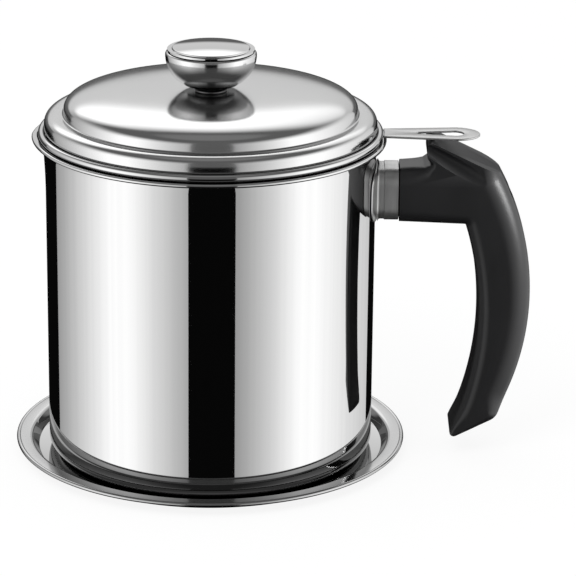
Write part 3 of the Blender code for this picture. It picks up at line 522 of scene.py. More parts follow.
def make_cup():
    """A flanged cup with a rolled edge, stepped in to a ledge round its opening."""
    flange = CUP_TOP - 2 * CUP_BEAD
    step = flange - CUP_STEP_DEPTH
    ledge = step - CUP_TAPER_DEPTH
    outline = rolled_outline([(CUP_OPENING_RADIUS, ledge, 0), (CUP_TAPER_RADIUS, ledge, CUP_BEND),
                              (CUP_WALL_RADIUS, step, CUP_BEND),
                              (CUP_WALL_RADIUS, flange, CUP_SHEET)],
                             CUP_RADIUS, CUP_TOP, CUP_BEAD, flange, CUP_SHEET)
    shown(turned("strainer_shell", subdivided(outline, CUP_RUN)), "strainer", "strainer_cup",
          STEEL)


def make_net():
    """A woven net: wire k lies at y_k, with its height a wave that turns over at each crossing,
    as amp cos(pi x / pitch + pi k), and the wires across it have the opposite wave."""
    count = int((NET_RADIUS - NET_WIRE) / NET_PITCH)
    line = np.arange(-count, count + 1)
    half = np.sqrt((NET_RADIUS - NET_WIRE) ** 2 - (line * NET_PITCH) ** 2)
    run = half[:, None] * np.linspace(-1, 1, 2 * count * NET_POINTS_PER_PITCH + 1)
    wave = NET_WAVE * np.cos(HALF * run / NET_PITCH + HALF * line[:, None])
    side = np.arange(NET_WIRE_SIDES) * TURN / NET_WIRE_SIDES
    for name, first, sign in (("net_wires_x", 0, 1), ("net_wires_y", 1, -1)):
        grid = np.empty((*run.shape, NET_WIRE_SIDES, 3))
        grid[..., first] = run[..., None]
        grid[..., 1 - first] = (line * NET_PITCH)[:, None, None] + NET_WIRE * np.cos(side)
        grid[..., 2] = NET_MIDDLE + sign * wave[..., None] + NET_WIRE * np.sin(side)
        shown(wires(name, grid), "strainer", "strainer_mesh", SATIN)


def wires(name, grid):
    """Many tubes in one mesh: grid[k, i, j] is point j round tube k at its step i, and each
    end is closed with the polygon of its last points."""
    count, steps, sides = grid.shape[:3]
    index = np.arange(count * steps * sides).reshape(count, steps, sides)
    index = np.concatenate([index, index[..., :1]], axis=2)
    quads = np.stack([index[:, :-1, :-1], index[:, :-1, 1:], index[:, 1:, 1:], index[:, 1:, :-1]],
                     axis=3).reshape(-1, 4)
    ends = np.concatenate([index[:, 0, :-1], index[:, -1, -2::-1]])
    return closed_mesh(name, grid, quads.tolist() + ends.tolist(), welded=False)


def make_ring():
    """The flat ring that holds the net's edge, with its edges slightly eased."""
    ease = (RING_TOP - RING_BASE) / 4
    inner = NET_RADIUS - RING_WIDTH
    ring = rounded([(inner + 2 * ease, RING_BASE, 0), (NET_RADIUS, RING_BASE, ease),
                    (NET_RADIUS, RING_TOP, ease), (inner, RING_TOP, ease),
                    (inner, RING_BASE, ease), (inner + 2 * ease, RING_BASE, 0)])
    shown(turned("net_ring", ring[:-1]), "strainer", "mesh_ring", SATIN)


# The tab

TAB_ROOT_HALF_WIDTH = 0.0052
TAB_WIDEST_REACH = 0.0885
SLOT_START = 0.0745
SLOT_END = 0.0916
SLOT_NARROW = 0.0012
SLOT_WIDE = 0.0033
TAB_EASE = 0.00025
TAB_EASE_STEPS = 3
TAB_POINTS = 160


def spaced(path, count):
    """A closed path's points, count of them, evenly along its length from its first point."""
    closed = np.vstack([path, path[:1]])
    along = lengths_along(closed)
    at = np.arange(count) * along[-1] / count
    return np.stack([np.interp(at, along, closed[:, axis]) for axis in (0, 1)], axis=1)


def inward(path, distance):
    """A closed path's points moved inwards, along the normal to the line between their two
    neighbours."""
    across = np.roll(path, -1, axis=0) - np.roll(path, 1, axis=0)
    normal = np.stack([-across[:, 1], across[:, 0]], axis=1)
    return path + normal / np.linalg.norm(normal, axis=1)[:, None] * distance


def make_tab():
    """The lifting tab: rows of places from the outer edge's foot, over its eased corner, across
    to the slot's eased corner and down, so each row is an outline and its height is constant."""
    root = CUP_RADIUS + SEAT_GAP
    half = math.asin(TAB_ROOT_HALF_WIDTH / root)
    foot = arc((0, 0), (root, root), half, -half, FILLET_STEPS)
    end = arc((TAB_WIDEST_REACH, 0), (TAB_END - TAB_WIDEST_REACH, TAB_HALF_WIDTH),
              -QUARTER, QUARTER, CURVE_STEPS)
    outer = np.vstack([end, foot])
    slot = np.vstack([arc((SLOT_END - SLOT_WIDE, 0), (SLOT_WIDE, SLOT_WIDE), -QUARTER, QUARTER,
                          CURVE_STEPS),
                      arc((SLOT_START + SLOT_NARROW, 0), (SLOT_NARROW, SLOT_NARROW), QUARTER,
                          HALF + QUARTER, CURVE_STEPS)])
    outer, slot = spaced(outer, TAB_POINTS), spaced(slot, TAB_POINTS)
    ease = arc((0, 0), (TAB_EASE, TAB_EASE), 0, QUARTER, TAB_EASE_STEPS)
    rows = []
    for edge, sign in ((outer, 1), (slot, -1)):
        inset = (TAB_EASE - ease[:, 0]) * sign
        levels = [(i, TAB_BASE + TAB_EASE - e) for i, e in zip(inset, ease[:, 1])][::-1]
        levels += [(i, TAB_TOP - TAB_EASE + e) for i, e in zip(inset, ease[:, 1])]
        side = [np.column_stack([inward(edge, i), np.full(TAB_POINTS, z)]) for i, z in levels]
        rows += side if sign > 0 else side[::-1]
    shown(skin("lifting_tab", np.array(rows)), "strainer", "strainer_tab", SATIN)


# The lid

LID_SHEET = 0.0006
LID_WIDEST_RISE = 0.0026
LID_SHOULDER_RADIUS = 0.0546
LID_SHOULDER_RISE = 0.0074
LID_SHOULDER_POWER = 3.1
LID_VALLEY_RADIUS = 0.0535
LID_VALLEY_DEPTH = 0.00015
LID_VALLEY_BEND = 0.0005
LID_TUCK_RADIUS = 0.0577
LID_DOME_RADIUS = 0.0533
LID_DOME_POWER = 3.35
LID_FLAT_RADIUS = 0.0046
LID_CROWN_FOOT = 0.0020
LID_PLUG_CLEARANCE = 0.0007
LID_RUN = 0.0030
SCREW_HOLE_RADIUS = 0.0023
LID_SEAT = CUP_TOP - 2 * CUP_BEAD + CUP_SHEET + SEAT_GAP


def make_lid():
    """A pressed lid. Its crown is the superellipse |r / R|^n + |z / h|^n = 1, its edge is a fuller
    one over the widest place, and a quarter ellipse leads from there to the plug wall."""
    shoulder = LID_SEAT + LID_SHOULDER_RISE
    valley = shoulder - LID_VALLEY_DEPTH
    widest = LID_SEAT + LID_WIDEST_RISE
    plug = CUP_WALL_RADIUS - CUP_SHEET - LID_PLUG_CLEARANCE
    crown = squared((0, valley), (LID_DOME_RADIUS, LID_TOP - valley), LID_DOME_POWER,
                    4 * CURVE_STEPS)
    crown = np.vstack([[SCREW_HOLE_RADIUS, LID_TOP], crown[crown[:, 0] > LID_FLAT_RADIUS]])
    crown = crown[crown[:, 1] > valley + LID_CROWN_FOOT]
    bend = rounded([crown[-1], (LID_VALLEY_RADIUS, valley, LID_VALLEY_BEND),
                    (LID_SHOULDER_RADIUS, shoulder)])[1:-1]
    edge = squared((LID_SHOULDER_RADIUS, widest),
                   (LID_RADIUS - LID_SHOULDER_RADIUS, shoulder - widest), LID_SHOULDER_POWER,
                   2 * CURVE_STEPS)
    tuck = arc((LID_TUCK_RADIUS, widest), (LID_RADIUS - LID_TUCK_RADIUS, LID_WIDEST_RISE),
               0, -QUARTER, CURVE_STEPS)[1:]
    wall = rounded([tuck[-1], (plug, LID_SEAT, LID_SHEET), (plug, LID_BASE, 0)])[1:]
    path = np.vstack([crown, bend, edge, tuck, wall])
    shown(turned("lid_pressing", subdivided(sheet(path, -LID_SHEET), LID_RUN)), "lid",
          "lid_shell", LID_STEEL)


# The knob

KNOB_SHEET = 0.0006
KNOB_BOWL_DEPTH = 0.0133
KNOB_BASE_RADIUS = 0.0093
KNOB_FOOT_BEND = 0.0026
KNOB_FOOT_STEPS = 4
KNOB_RIM_HEIGHT = 0.0013
KNOB_RIM_BEND = 0.0011
KNOB_RIM_WIDTH = 0.0014
CAP_FACE_RADIUS = 0.0139
CAP_CROWN = 0.0009
CAP_BEND = 0.0002
CAP_STEP = 0.0002
SCREW_RADIUS = 0.0020
SCREW_HEAD_HEIGHT = 0.0022
SCREW_DRIVE_REACH = 0.0019
SCREW_DRIVE_WIDTH = 0.0009
SCREW_DRIVE_DEPTH = 0.0013
SCREW_DRIVE_MARGIN = 1.15
SCREW_DOME_STEPS = 12
RECESS_FLOOR_SHARE = 0.72
RECESS_POINT_SHARE = 0.2


def make_knob_bowl():
    """The knob's bowl: its side is a quarter ellipse from its foot to its rim."""
    rim_base = KNOB_RIM_TOP - KNOB_RIM_HEIGHT
    start = math.asin(KNOB_BASE_RADIUS / KNOB_RADIUS) - QUARTER
    side = arc((0, rim_base), (KNOB_RADIUS, KNOB_BOWL_DEPTH), start, 0, CURVE_STEPS)
    rim = rounded([side[-1], (KNOB_RADIUS, KNOB_RIM_TOP, KNOB_RIM_BEND),
                   (KNOB_RADIUS - KNOB_RIM_WIDTH, KNOB_RIM_TOP, 0)])[1:]
    foot = rounded([(SCREW_HOLE_RADIUS, KNOB_BASE, 0), (*side[0], KNOB_FOOT_BEND),
                    side[KNOB_FOOT_STEPS]])[:-1]
    path = np.vstack([foot, side[KNOB_FOOT_STEPS:], rim])
    shown(turned("knob_bowl_shell", sheet(path, KNOB_SHEET), KNOB_STEPS), "lid", "knob_bowl",
          KNOB_STEEL)


def make_knob_cap():
    """The disc in the bowl's mouth, crowned as the square of the radius, with a step down to its
    seat in the rim."""
    step = KNOB_RIM_TOP + SEAT_GAP + KNOB_SHEET
    face = CAP_TOP - CAP_CROWN
    across = np.linspace(0, CAP_FACE_RADIUS - CAP_BEND, CURVE_STEPS)
    crown = np.stack([across, face + CAP_CROWN * (1 - (across / CAP_FACE_RADIUS) ** 2)], axis=1)
    edge = rounded([crown[-1], (CAP_FACE_RADIUS, face, CAP_BEND),
                    (CAP_FACE_RADIUS + CAP_STEP, step, CAP_BEND / 2), (CAP_RADIUS, step, 0)])[1:]
    top = np.vstack([crown, edge])
    shown(turned("knob_disc", sheet(top, -KNOB_SHEET), KNOB_STEPS), "lid", "knob_cap",
          STEEL)


def make_knob_spacer():
    """The small spacer between the lid and the knob."""
    collar = ring_outline(SCREW_HOLE_RADIUS, COLLAR_RADIUS, COLLAR_BASE, COLLAR_TOP)
    shown(turned("knob_spacer", collar, KNOB_STEPS), "lid", "knob_collar", SATIN)


def screw_grid(shank, dome, reach, width, depth, margin):
    """Rows of (radius, height) round an axis: a shank, a dome that ends a margin outside its
    recess, the recess, and its small pointed floor. The recess is a cross: along each arm its
    radius is half the width over the sine of the angle from the arm, up to the reach."""
    rows = np.vstack([shank, dome[dome[:, 0] > reach * margin]])
    edge = rows[-1, 1]
    sink = math.copysign(depth, edge - rows[0, 1])
    floor = edge - sink
    levels = [*rows[:, 1], edge, floor, floor - sink * RECESS_POINT_SHARE]
    angle = np.arange(SCREW_STEPS) * TURN / SCREW_STEPS
    from_arm = np.abs((angle + QUARTER / 2) % QUARTER - QUARTER / 2)
    cross = np.minimum(reach, width / 2 / np.maximum(np.sin(from_arm), NEAR_ZERO))
    radius = np.vstack([np.outer(rows[:, 0], np.ones(SCREW_STEPS)), cross,
                        cross * RECESS_FLOOR_SHARE, np.zeros(SCREW_STEPS)])
    return np.stack([radius * np.cos(angle), radius * np.sin(angle),
                     np.outer(levels, np.ones(SCREW_STEPS))], axis=2)


def make_knob_screw():
    """The screw under the lid, with a domed cross-recessed head, and its washer."""
    head_top = SCREW_HEAD_BASE + SCREW_HEAD_HEIGHT
    dome = arc((0, head_top), (SCREW_HEAD_RADIUS, SCREW_HEAD_HEIGHT), 0, -QUARTER,
               SCREW_DOME_STEPS)
    shank = [(0, SCREW_TOP), (SCREW_RADIUS, SCREW_TOP), (SCREW_RADIUS, head_top)]
    grid = screw_grid(shank, dome, SCREW_DRIVE_REACH, SCREW_DRIVE_WIDTH, SCREW_DRIVE_DEPTH,
                      SCREW_DRIVE_MARGIN)
    shown(skin("knob_fixing_screw", grid, close_rows=False), "lid", "knob_screw",
          SATIN)
    washer = ring_outline(SCREW_HOLE_RADIUS, SCREW_WASHER_RADIUS, SCREW_WASHER_BASE,
                          SCREW_WASHER_TOP)
    shown(turned("knob_fixing_washer", washer, KNOB_STEPS), "lid", "knob_washer",
          SATIN)


# The handle

LEG_HEIGHT = 0.0204
LEG_END_DROP = 0.0004
LEG_END_RISE = 0.0006
LEG_LENGTH = 0.02965
INNER_BOW_RADIUS = 0.1140
INNER_BOW_DROP = 0.04545
OUTER_BOW_RADIUS = 0.09945
OUTER_BOW_DROP = 0.0392
TIP_DROP = 0.0940
TIP_RISE = 0.0084
TIP_BEND = 0.0052
INNER_TIP_ROUNDING = 0.0016
OUTER_TIP_ROUNDING = 0.0055
RAMP_SETBACK = 0.0114
RAMP_CORNER_RISE = 0.00855
NUB_OVERHANG = 0.0017
NUB_NOTCH_DEPTH = 0.0016
NUB_NOTCH_HEIGHT = 0.0014
NUB_LIP_HEIGHT = 0.0040
NUB_CHAMFER = 0.0012
LEG_EDGE = 0.0060
INNER_EDGE = 0.0045
OUTER_EDGE = 0.0082
INNER_TIP_EDGE = 0.0013
OUTER_TIP_EDGE = 0.0038
NUB_EDGE = 0.0005
CORNER_BEND = 0.0006
JOIN_STEPS = 6
GRIP_STATION = 0.0008
EDGE_BLEND = 0.0040
EDGE_STEPS = 12
FLUTE_LIP = 0.0007
FLUTE_LENGTH = 0.0265
FLUTE_START_WIDTH = 0.0040
FLUTE_END_WIDTH = 0.0088
FLUTE_DEPTH = 0.0014
FLUTE_FADE = 1.1
FLUTE_STATIONS = 24
FLUTE_SIDES = 96
COUNTERBORE_RADIUS = 0.0039
BOLT_RADIUS = 0.0025
BOLT_HOLE_RADIUS = 0.0028
BOLT_HEAD_RADIUS = 0.0034
BOLT_HEAD_HEIGHT = 0.0030
BOLT_DRIVE_REACH = 0.0018
BOLT_DRIVE_WIDTH = 0.0008
BOLT_DRIVE_DEPTH = 0.0018
BOLT_DRIVE_MARGIN = 1.1
BOLT_CHAMFER = 0.0005
CUT_OVERRUN = 0.0020
FERRULE_SHEET = 0.0005
FERRULE_EASE = 0.0002
NECK_INSET = 0.0008
NECK_WELD = 0.0009
BRACKET_SHEET = 0.0008
BRACKET_PLATE = 0.0012
SADDLE_RADIUS = POT_RADIUS + SEAT_GAP + BRACKET_SHEET
SADDLE_HALF_LENGTH = 0.0155
SADDLE_HALF_HEIGHT = 0.0101
SADDLE_EDGE = 0.0026
SADDLE_POWER = 3.4


def grip_outline():
    """The handle's side outline, (reach, height, radius of the rounded edge), in two runs: from
    the leg's foot down the inside, round the tip and up the outside to the ramp's corner, and
    from the ramp's tip down the nub and back along the leg's top."""
    inner_reach = GRIP_START + LEG_LENGTH
    inner = (inner_reach - INNER_BOW_RADIUS, BOLT_AXIS - INNER_BOW_DROP)
    outer = (GRIP_OUTER - OUTER_BOW_RADIUS, BOLT_AXIS - OUTER_BOW_DROP)
    leg_top = BOLT_AXIS + LEG_HEIGHT / 2
    leg_foot = BOLT_AXIS - LEG_HEIGHT / 2

    def on_bow(bow, radius, heights):
        turns = [math.asin((height - bow[1]) / radius) for height in heights]
        return arc(bow, (radius, radius), *turns, 4 * CURVE_STEPS)

    def edged(edge, *runs):
        return np.column_stack([np.vstack(runs), np.full(sum(map(len, runs)), edge)])

    def run_on(bow, point, height):
        slope = (bow[1] - point[1]) / (point[0] - bow[0])
        return point[0] - slope * (point[1] - height)

    tip = BOLT_AXIS - TIP_DROP
    inside = on_bow(inner, INNER_BOW_RADIUS, (leg_foot - LEG_END_DROP, tip + TIP_BEND))
    outside = on_bow(outer, OUTER_BOW_RADIUS,
                     (tip + TIP_BEND + TIP_RISE, BOLT_AXIS + RAMP_CORNER_RISE))
    corner = rounded([(GRIP_START, leg_foot, 0), (*inside[0], CORNER_BEND),
                      inside[JOIN_STEPS]])
    end = rounded([inside[-1], (run_on(inner, inside[-1], tip), tip, INNER_TIP_ROUNDING),
                   (run_on(outer, outside[0], tip + TIP_RISE), tip + TIP_RISE,
                    OUTER_TIP_ROUNDING), outside[0]])[1:-1]
    bend = len(end) // 2
    front = GRIP_START + RAMP_SETBACK - NUB_OVERHANG
    neck_top = leg_top + LEG_END_RISE
    nub = rounded([(GRIP_START + RAMP_SETBACK, RAMP_TIP_HEIGHT, 0),
                   (front, RAMP_TIP_HEIGHT - NUB_CHAMFER, CORNER_BEND),
                   (front, neck_top + NUB_LIP_HEIGHT, CORNER_BEND),
                   (front + NUB_NOTCH_DEPTH, neck_top + NUB_NOTCH_HEIGHT, CORNER_BEND),
                   (front - NUB_CHAMFER, neck_top, 0)])[:-1]
    leg = np.array([(front - NUB_CHAMFER, neck_top), (GRIP_START, leg_top)])
    lower = np.vstack([edged(LEG_EDGE, corner[:1]),
                       edged(INNER_EDGE, corner[1:], inside[JOIN_STEPS + 1:-JOIN_STEPS]),
                       edged(INNER_TIP_EDGE, inside[-JOIN_STEPS:], end[:bend]),
                       edged(OUTER_TIP_EDGE, end[bend:]), edged(OUTER_EDGE, outside)])
    upper = np.vstack([edged(NUB_EDGE, nub), edged(LEG_EDGE, leg)])
    return lower, upper


def blended(path):
    """The path with its third column averaged over its neighbours, by a Gaussian of the distance
    along the path between them."""
    along = lengths_along(path[:, :2])
    weight = np.exp(-((along[:, None] - along) / EDGE_BLEND) ** 2) * np.gradient(along)
    return np.column_stack([path[:, :2], weight @ path[:, 2] / weight.sum(axis=1)])


def rounded_rings(path, step):
    """Rings across the handle: at turn t of its rounded edge of radius r, a point lies
    r(1 - cos t) along the inward step and r(1 - sin t) in from the flat side."""
    turns = np.linspace(0, QUARTER, EDGE_STEPS + 1)
    radius = path[:, 2:]
    spot = path[:, None, :2] + step[:, None] * (radius * (1 - np.cos(turns)))[..., None]
    across = GRIP_HALF_WIDTH - radius * (1 - np.sin(turns))
    half = np.stack([spot[..., 0], across, spot[..., 1]], axis=2)
    return np.concatenate([half[:, ::-1] * (1, -1, 1), half], axis=1)


def make_grip():
    """The moulded handle: an outline with a rounded edge carried round it, flat sides with a
    flute in each, a flat thumb rest, and a stepped hole along its leg for the bolt."""
    lower, upper = grip_outline()
    lower = blended(subdivided(lower, GRIP_STATION))
    upper = blended(subdivided(upper, GRIP_STATION))
    down = (lower[-1, :2] - upper[0, :2]) / np.linalg.norm(lower[-1, :2] - upper[0, :2])
    lower_step = beside(lower[:, :2], 1) - lower[:, :2]
    upper_step = beside(upper[:, :2], 1) - upper[:, :2]
    lower_step[0], upper_step[-1] = (0, 1), (0, -1)
    lower_step[-1], upper_step[0] = -down, down
    grid = np.concatenate([rounded_rings(lower, lower_step), rounded_rings(upper, upper_step)])
    rows, columns = grid.shape[:2]
    index = np.arange(rows * columns).reshape(rows, columns)
    caps = [index[:, 0].tolist(), index[:, -1].tolist(),
            index[0].tolist() + index[-1, ::-1].tolist()]
    grip = skin("handle_moulding", grid, close_rows=False, close_columns=False, caps=caps)
    floor = WASHER_START - SEAT_GAP
    start, end = GRIP_START - CUT_OVERRUN, GRIP_OUTER + CUT_OVERRUN
    bore = np.array([(0, start), (BOLT_HOLE_RADIUS, start), (BOLT_HOLE_RADIUS, floor),
                     (COUNTERBORE_RADIUS, floor), (COUNTERBORE_RADIUS, end), (0, end)])
    cut(grip, turned("grip_bore", bore, SCREW_STEPS, on_bolt=True))
    for side in (-1, 1):
        cut(grip, flute_tool(lower[-1, :2], upper[0, :2], side))
    shown(grip, "pot", "handle_grip", BLACK)


def flute_tool(corner, tip, side):
    """The hollow under the thumb rest: circles of radius ((w / 2)^2 + d^2) / 2d for a width w and
    a depth d, side by side along the ramp, that move out of the flat side towards their end."""
    along = (corner - tip) / np.linalg.norm(corner - tip)
    below = np.array([along[1], -along[0]])
    share = np.linspace(0, 1, FLUTE_STATIONS)[:, None]
    width = FLUTE_START_WIDTH + (FLUTE_END_WIDTH - FLUTE_START_WIDTH) * share
    radius = ((width / 2) ** 2 + FLUTE_DEPTH ** 2) / (2 * FLUTE_DEPTH)
    depth = FLUTE_DEPTH * (1 - FLUTE_FADE * share ** 2)
    run = FLUTE_LENGTH * share - CUT_OVERRUN * (1 - share)
    angle = np.arange(FLUTE_SIDES) * TURN / FLUTE_SIDES
    down = FLUTE_LIP + width / 2 + radius * np.cos(angle)
    out = GRIP_HALF_WIDTH - depth + radius + radius * np.sin(angle)
    flat = tip + along * run[..., None] + below * down[..., None]
    grid = np.stack([flat[..., 0], side * out, flat[..., 1]], axis=2)
    count = FLUTE_STATIONS * FLUTE_SIDES
    ends = [list(range(FLUTE_SIDES)), list(range(count - FLUTE_SIDES, count))]
    return skin("flute_tool", grid, close_rows=False, caps=ends)


def cut(piece, cutter):
    """Takes the cutter's shape out of a piece, and removes the cutter."""
    change = piece.modifiers.new("cut", "BOOLEAN")
    change.solver = "EXACT"
    change.object = cutter
    view = bpy.context.evaluated_depsgraph_get()
    done = bpy.data.meshes.new_from_object(piece.evaluated_get(view))
    piece.modifiers.clear()
    piece.data = done
    bpy.data.objects.remove(cutter)
    done.set_sharp_from_angle(angle=CREASE_ANGLE)


def box_section(inset):
    """The leg's section, drawn in by an inset: a rounded box as (across, up)."""
    wide = GRIP_HALF_WIDTH - LEG_EDGE
    tall = LEG_HEIGHT / 2 - LEG_EDGE
    radius = LEG_EDGE - inset
    corners = [arc((side * wide, level * tall), (radius, radius), k * QUARTER, (k + 1) * QUARTER,
                   EDGE_STEPS)
               for k, (side, level) in enumerate(((1, 1), (-1, 1), (-1, -1), (1, -1)))]
    return subdivided(np.vstack([*corners, corners[0][:1]]), LEG_EDGE / EDGE_STEPS)[:-1]


def section_row(reach, section):
    """One row of places across the handle's axis: a section held at a reach, or at one for each
    of its points."""
    return np.column_stack([np.broadcast_to(reach, len(section)), section[:, 0],
                            section[:, 1] + BOLT_AXIS])


def make_saddle():
    """The bracket's saddle: a full oval, (|y| / a)^n + (|z| / b)^n = 1, bent round the pot, so
    that its points lie at sqrt(R^2 - y^2) along X, with a wide rounded edge."""
    angle = np.arange(ROUND_STEPS) * TURN / ROUND_STEPS
    ease = arc((SADDLE_EDGE, BRACKET_SHEET), (SADDLE_EDGE, BRACKET_SHEET), -QUARTER, -HALF,
               FILLET_STEPS * 2)
    rows = [(share, SADDLE_EDGE, 0) for share in np.linspace(0, 1, CURVE_STEPS)]
    rows += [(1, inset, depth) for inset, depth in ease[1:-1]]
    rows += [(share, 0, BRACKET_SHEET) for share in np.linspace(1, 0, CURVE_STEPS)]
    share, inset, depth = np.array(rows).T[..., None]
    turn = np.stack([np.cos(angle), np.sin(angle)])
    wide, high = np.sign(turn) * np.abs(turn) ** (2 / SADDLE_POWER)
    y = share * (SADDLE_HALF_LENGTH - inset) * wide
    z = share * (SADDLE_HALF_HEIGHT - inset) * high + BOLT_AXIS
    x = np.sqrt((SADDLE_RADIUS - depth) ** 2 - y ** 2)
    shown(skin("bracket_saddle", np.stack([x, y, z], axis=2), close_rows=False), "pot",
          "handle_bracket", SATIN)


def make_neck():
    """The bracket's hollow neck. It flares by a quarter circle where it is welded to the saddle,
    and ends in a plate with a hole."""

    def on_saddle(section):
        return np.sqrt(SADDLE_RADIUS ** 2 - section[:, 0] ** 2)

    turns = np.linspace(0, QUARTER, FILLET_STEPS + 1)
    weld = [box_section(NECK_INSET - NECK_WELD * (1 - math.sin(t))) for t in turns]
    rows = [section_row(on_saddle(ring) + NECK_WELD * (1 - math.cos(t)), ring)
            for ring, t in zip(weld, turns)]
    neck, hollow = box_section(NECK_INSET), box_section(NECK_INSET + BRACKET_SHEET)
    around = np.arctan2(neck[:, 1], neck[:, 0])
    hole = BOLT_HOLE_RADIUS * np.stack([np.cos(around), np.sin(around)], axis=1)
    rows += [section_row(NECK_END, neck), section_row(NECK_END, hole),
             section_row(NECK_END - BRACKET_PLATE, hole),
             section_row(NECK_END - BRACKET_PLATE, hollow),
             section_row(on_saddle(hollow), hollow)]
    shown(skin("bracket_neck", np.array(rows)), "pot", "handle_bracket",
          SMUDGED)


def make_ferrule():
    """A thin sleeve with eased ends, drawn in by the leg's shoulder."""
    step = GRIP_HALF_WIDTH - FERRULE_HALF_WIDTH
    ease = FERRULE_EASE
    stations = [(FERRULE_START, step + ease), (FERRULE_START + ease, step),
                (FERRULE_END - ease, step), (FERRULE_END, step + ease),
                (FERRULE_END, step + FERRULE_SHEET), (FERRULE_START, step + FERRULE_SHEET)]
    rows = [section_row(reach, box_section(inset)) for reach, inset in stations]
    shown(skin("handle_sleeve", np.array(rows)), "pot", "handle_ferrule",
          SMUDGED)


def make_bolt():
    """The long bolt, with a domed cross-recessed head, and its washer in the handle's leg."""
    seat = BOLT_HEAD_TOP - BOLT_HEAD_HEIGHT
    dome = arc((0, seat + BOLT_HEAD_HEIGHT / 2), (BOLT_HEAD_RADIUS, BOLT_HEAD_HEIGHT / 2),
               0, QUARTER, CURVE_STEPS)
    shank = [(0, BOLT_TIP), (BOLT_RADIUS - BOLT_CHAMFER, BOLT_TIP),
             (BOLT_RADIUS, BOLT_TIP + BOLT_CHAMFER), (BOLT_RADIUS, seat), (BOLT_HEAD_RADIUS, seat)]
    grid = screw_grid(shank, dome, BOLT_DRIVE_REACH, BOLT_DRIVE_WIDTH, BOLT_DRIVE_DEPTH,
                      BOLT_DRIVE_MARGIN)
    shown(skin("handle_long_bolt", along_x(grid), close_rows=False), "pot", "handle_bolt",
          SATIN)
    washer = ring_outline(BOLT_HOLE_RADIUS, BOLT_HEAD_RADIUS, WASHER_START, WASHER_END)
    shown(turned("handle_bolt_washer", washer, SCREW_STEPS, on_bolt=True), "pot",
          "handle_washer", SATIN)


make_tray()
make_pot()
make_cup()
make_net()
make_ring()
make_tab()
make_lid()
make_knob_bowl()
make_knob_cap()
make_knob_spacer()
make_knob_screw()
make_grip()
make_saddle()
make_neck()
make_ferrule()
make_bolt()

# Two hidden solids stay as they are
for kept in ("bracket_nut", "knob_insert"):
    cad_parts[kept].data.materials.clear()
    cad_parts[kept].data.materials.append(SATIN)


# The studio, with a camera fitted to the photograph

LENS = 187.36
SENSOR = 36.0
CAMERA_PLACE = (0.03654, -1.04641, 0.41484)
CAMERA_YAW = math.radians(-0.4402)
CAMERA_DOWN = math.radians(18.6747)
CAMERA_ROLL = math.radians(0.5881)


def make_camera():
    """The photograph's viewpoint, with its own axes worked out from yaw, tilt and roll."""
    lens = bpy.data.cameras.new("product_camera")
    lens.lens = LENS
    lens.sensor_width = SENSOR
    camera = placed("product_camera", lens)
    forward = np.array([math.sin(CAMERA_YAW) * math.cos(CAMERA_DOWN),
                        math.cos(CAMERA_YAW) * math.cos(CAMERA_DOWN), -math.sin(CAMERA_DOWN)])
    level = np.array([math.cos(CAMERA_YAW), -math.sin(CAMERA_YAW), 0])
    upright = np.cross(level, forward)
    right = math.cos(CAMERA_ROLL) * level + math.sin(CAMERA_ROLL) * upright
    up = math.cos(CAMERA_ROLL) * upright - math.sin(CAMERA_ROLL) * level
    pose = np.eye(4)
    pose[:3] = np.column_stack([right, up, -forward, CAMERA_PLACE])
    camera.matrix_world = Matrix(pose.tolist())
    bpy.context.scene.camera = camera


FLOOR_REACH = 4.0
FLOOR_COLOUR = (0.85, 0.85, 0.85, 1)
FLOOR_ROUGHNESS = 0.9
FLOOR_GLOW = 1.06
FLOOR_GLOW_SHARE = 0.82
WHITE = (1, 1, 1, 1)


def make_floor():
    """A plain white floor that keeps a soft shadow under the object. To the camera a share of it
    glows, and steel doesn't mirror it."""
    mesh = bpy.data.meshes.new("floor")
    corners = [(-1, -1), (1, -1), (1, 1), (-1, 1)]
    mesh.from_pydata([(FLOOR_REACH * x, FLOOR_REACH * y, 0) for x, y in corners], [],
                     [(0, 1, 2, 3)])
    floor = placed("floor", mesh)
    made, tree, shader = finish_nodes("floor_white", 0)
    shader.inputs["Base Color"].default_value = FLOOR_COLOUR
    shader.inputs["Roughness"].default_value = FLOOR_ROUGHNESS
    shader.inputs["Specular IOR Level"].default_value = 0
    lit = add(tree, "ShaderNodeEmission", Color=WHITE, Strength=FLOOR_GLOW)
    path = tree.nodes.new("ShaderNodeLightPath")
    share = worked(tree, "MULTIPLY", path.outputs["Is Camera Ray"], FLOOR_GLOW_SHARE)
    blend = tree.nodes.new("ShaderNodeMixShader")
    for socket, value in zip(blend.inputs, (share, shader.outputs[0], lit.outputs[0])):
        tree.links.new(value, socket)
    tree.links.new(blend.outputs[0], tree.nodes["Material Output"].inputs["Surface"])
    mesh.materials.append(made)
    floor.visible_glossy = False


# Studio panels that polished steel mirrors. Each has its compass angles from the camera's side
# round towards +X, where it starts, comes to full strength, stops being full and ends; its heights
# in the same order; and its strength in the middle and at its first and last edge.
PANELS = {
    "left_softbox": ((-133.5, -72, -56, -13.5), (-50, -24, 14, 56), 1.0, 0.58, 0.66),
    "right_softbox": ((19, 66, 82, 149), (-50, -24, 14, 56), 1.0, 0.59, 0.74),
    "left_rear": ((-181, -180, -150, -128), (14, 26, 38, 66), 1.04, 1.04, 0.5),
    "right_rear": ((128, 152, 152, 180), (14, 26, 38, 66), 0.84, 0.5, 1.04),
    "left_rear_low": ((-181, -180, -150, -128), (6, 12, 20, 30), 0.74, 0.74, 0.5),
    "right_rear_low": ((128, 152, 152, 180), (6, 12, 20, 30), 0.70, 0.5, 0.74),
}
DARK_HEIGHTS = (-12, 2)
DARK_LEVELS = (0.002, 0.09)
CEILING_HEIGHTS = (54, 74)
CEILING_LEVEL = 0.15
MIRROR_GAIN = 1.46
EVEN_LIGHT = 0.80
EYE_POWER = 2.2
BOUNCE_SHARE = 0.6


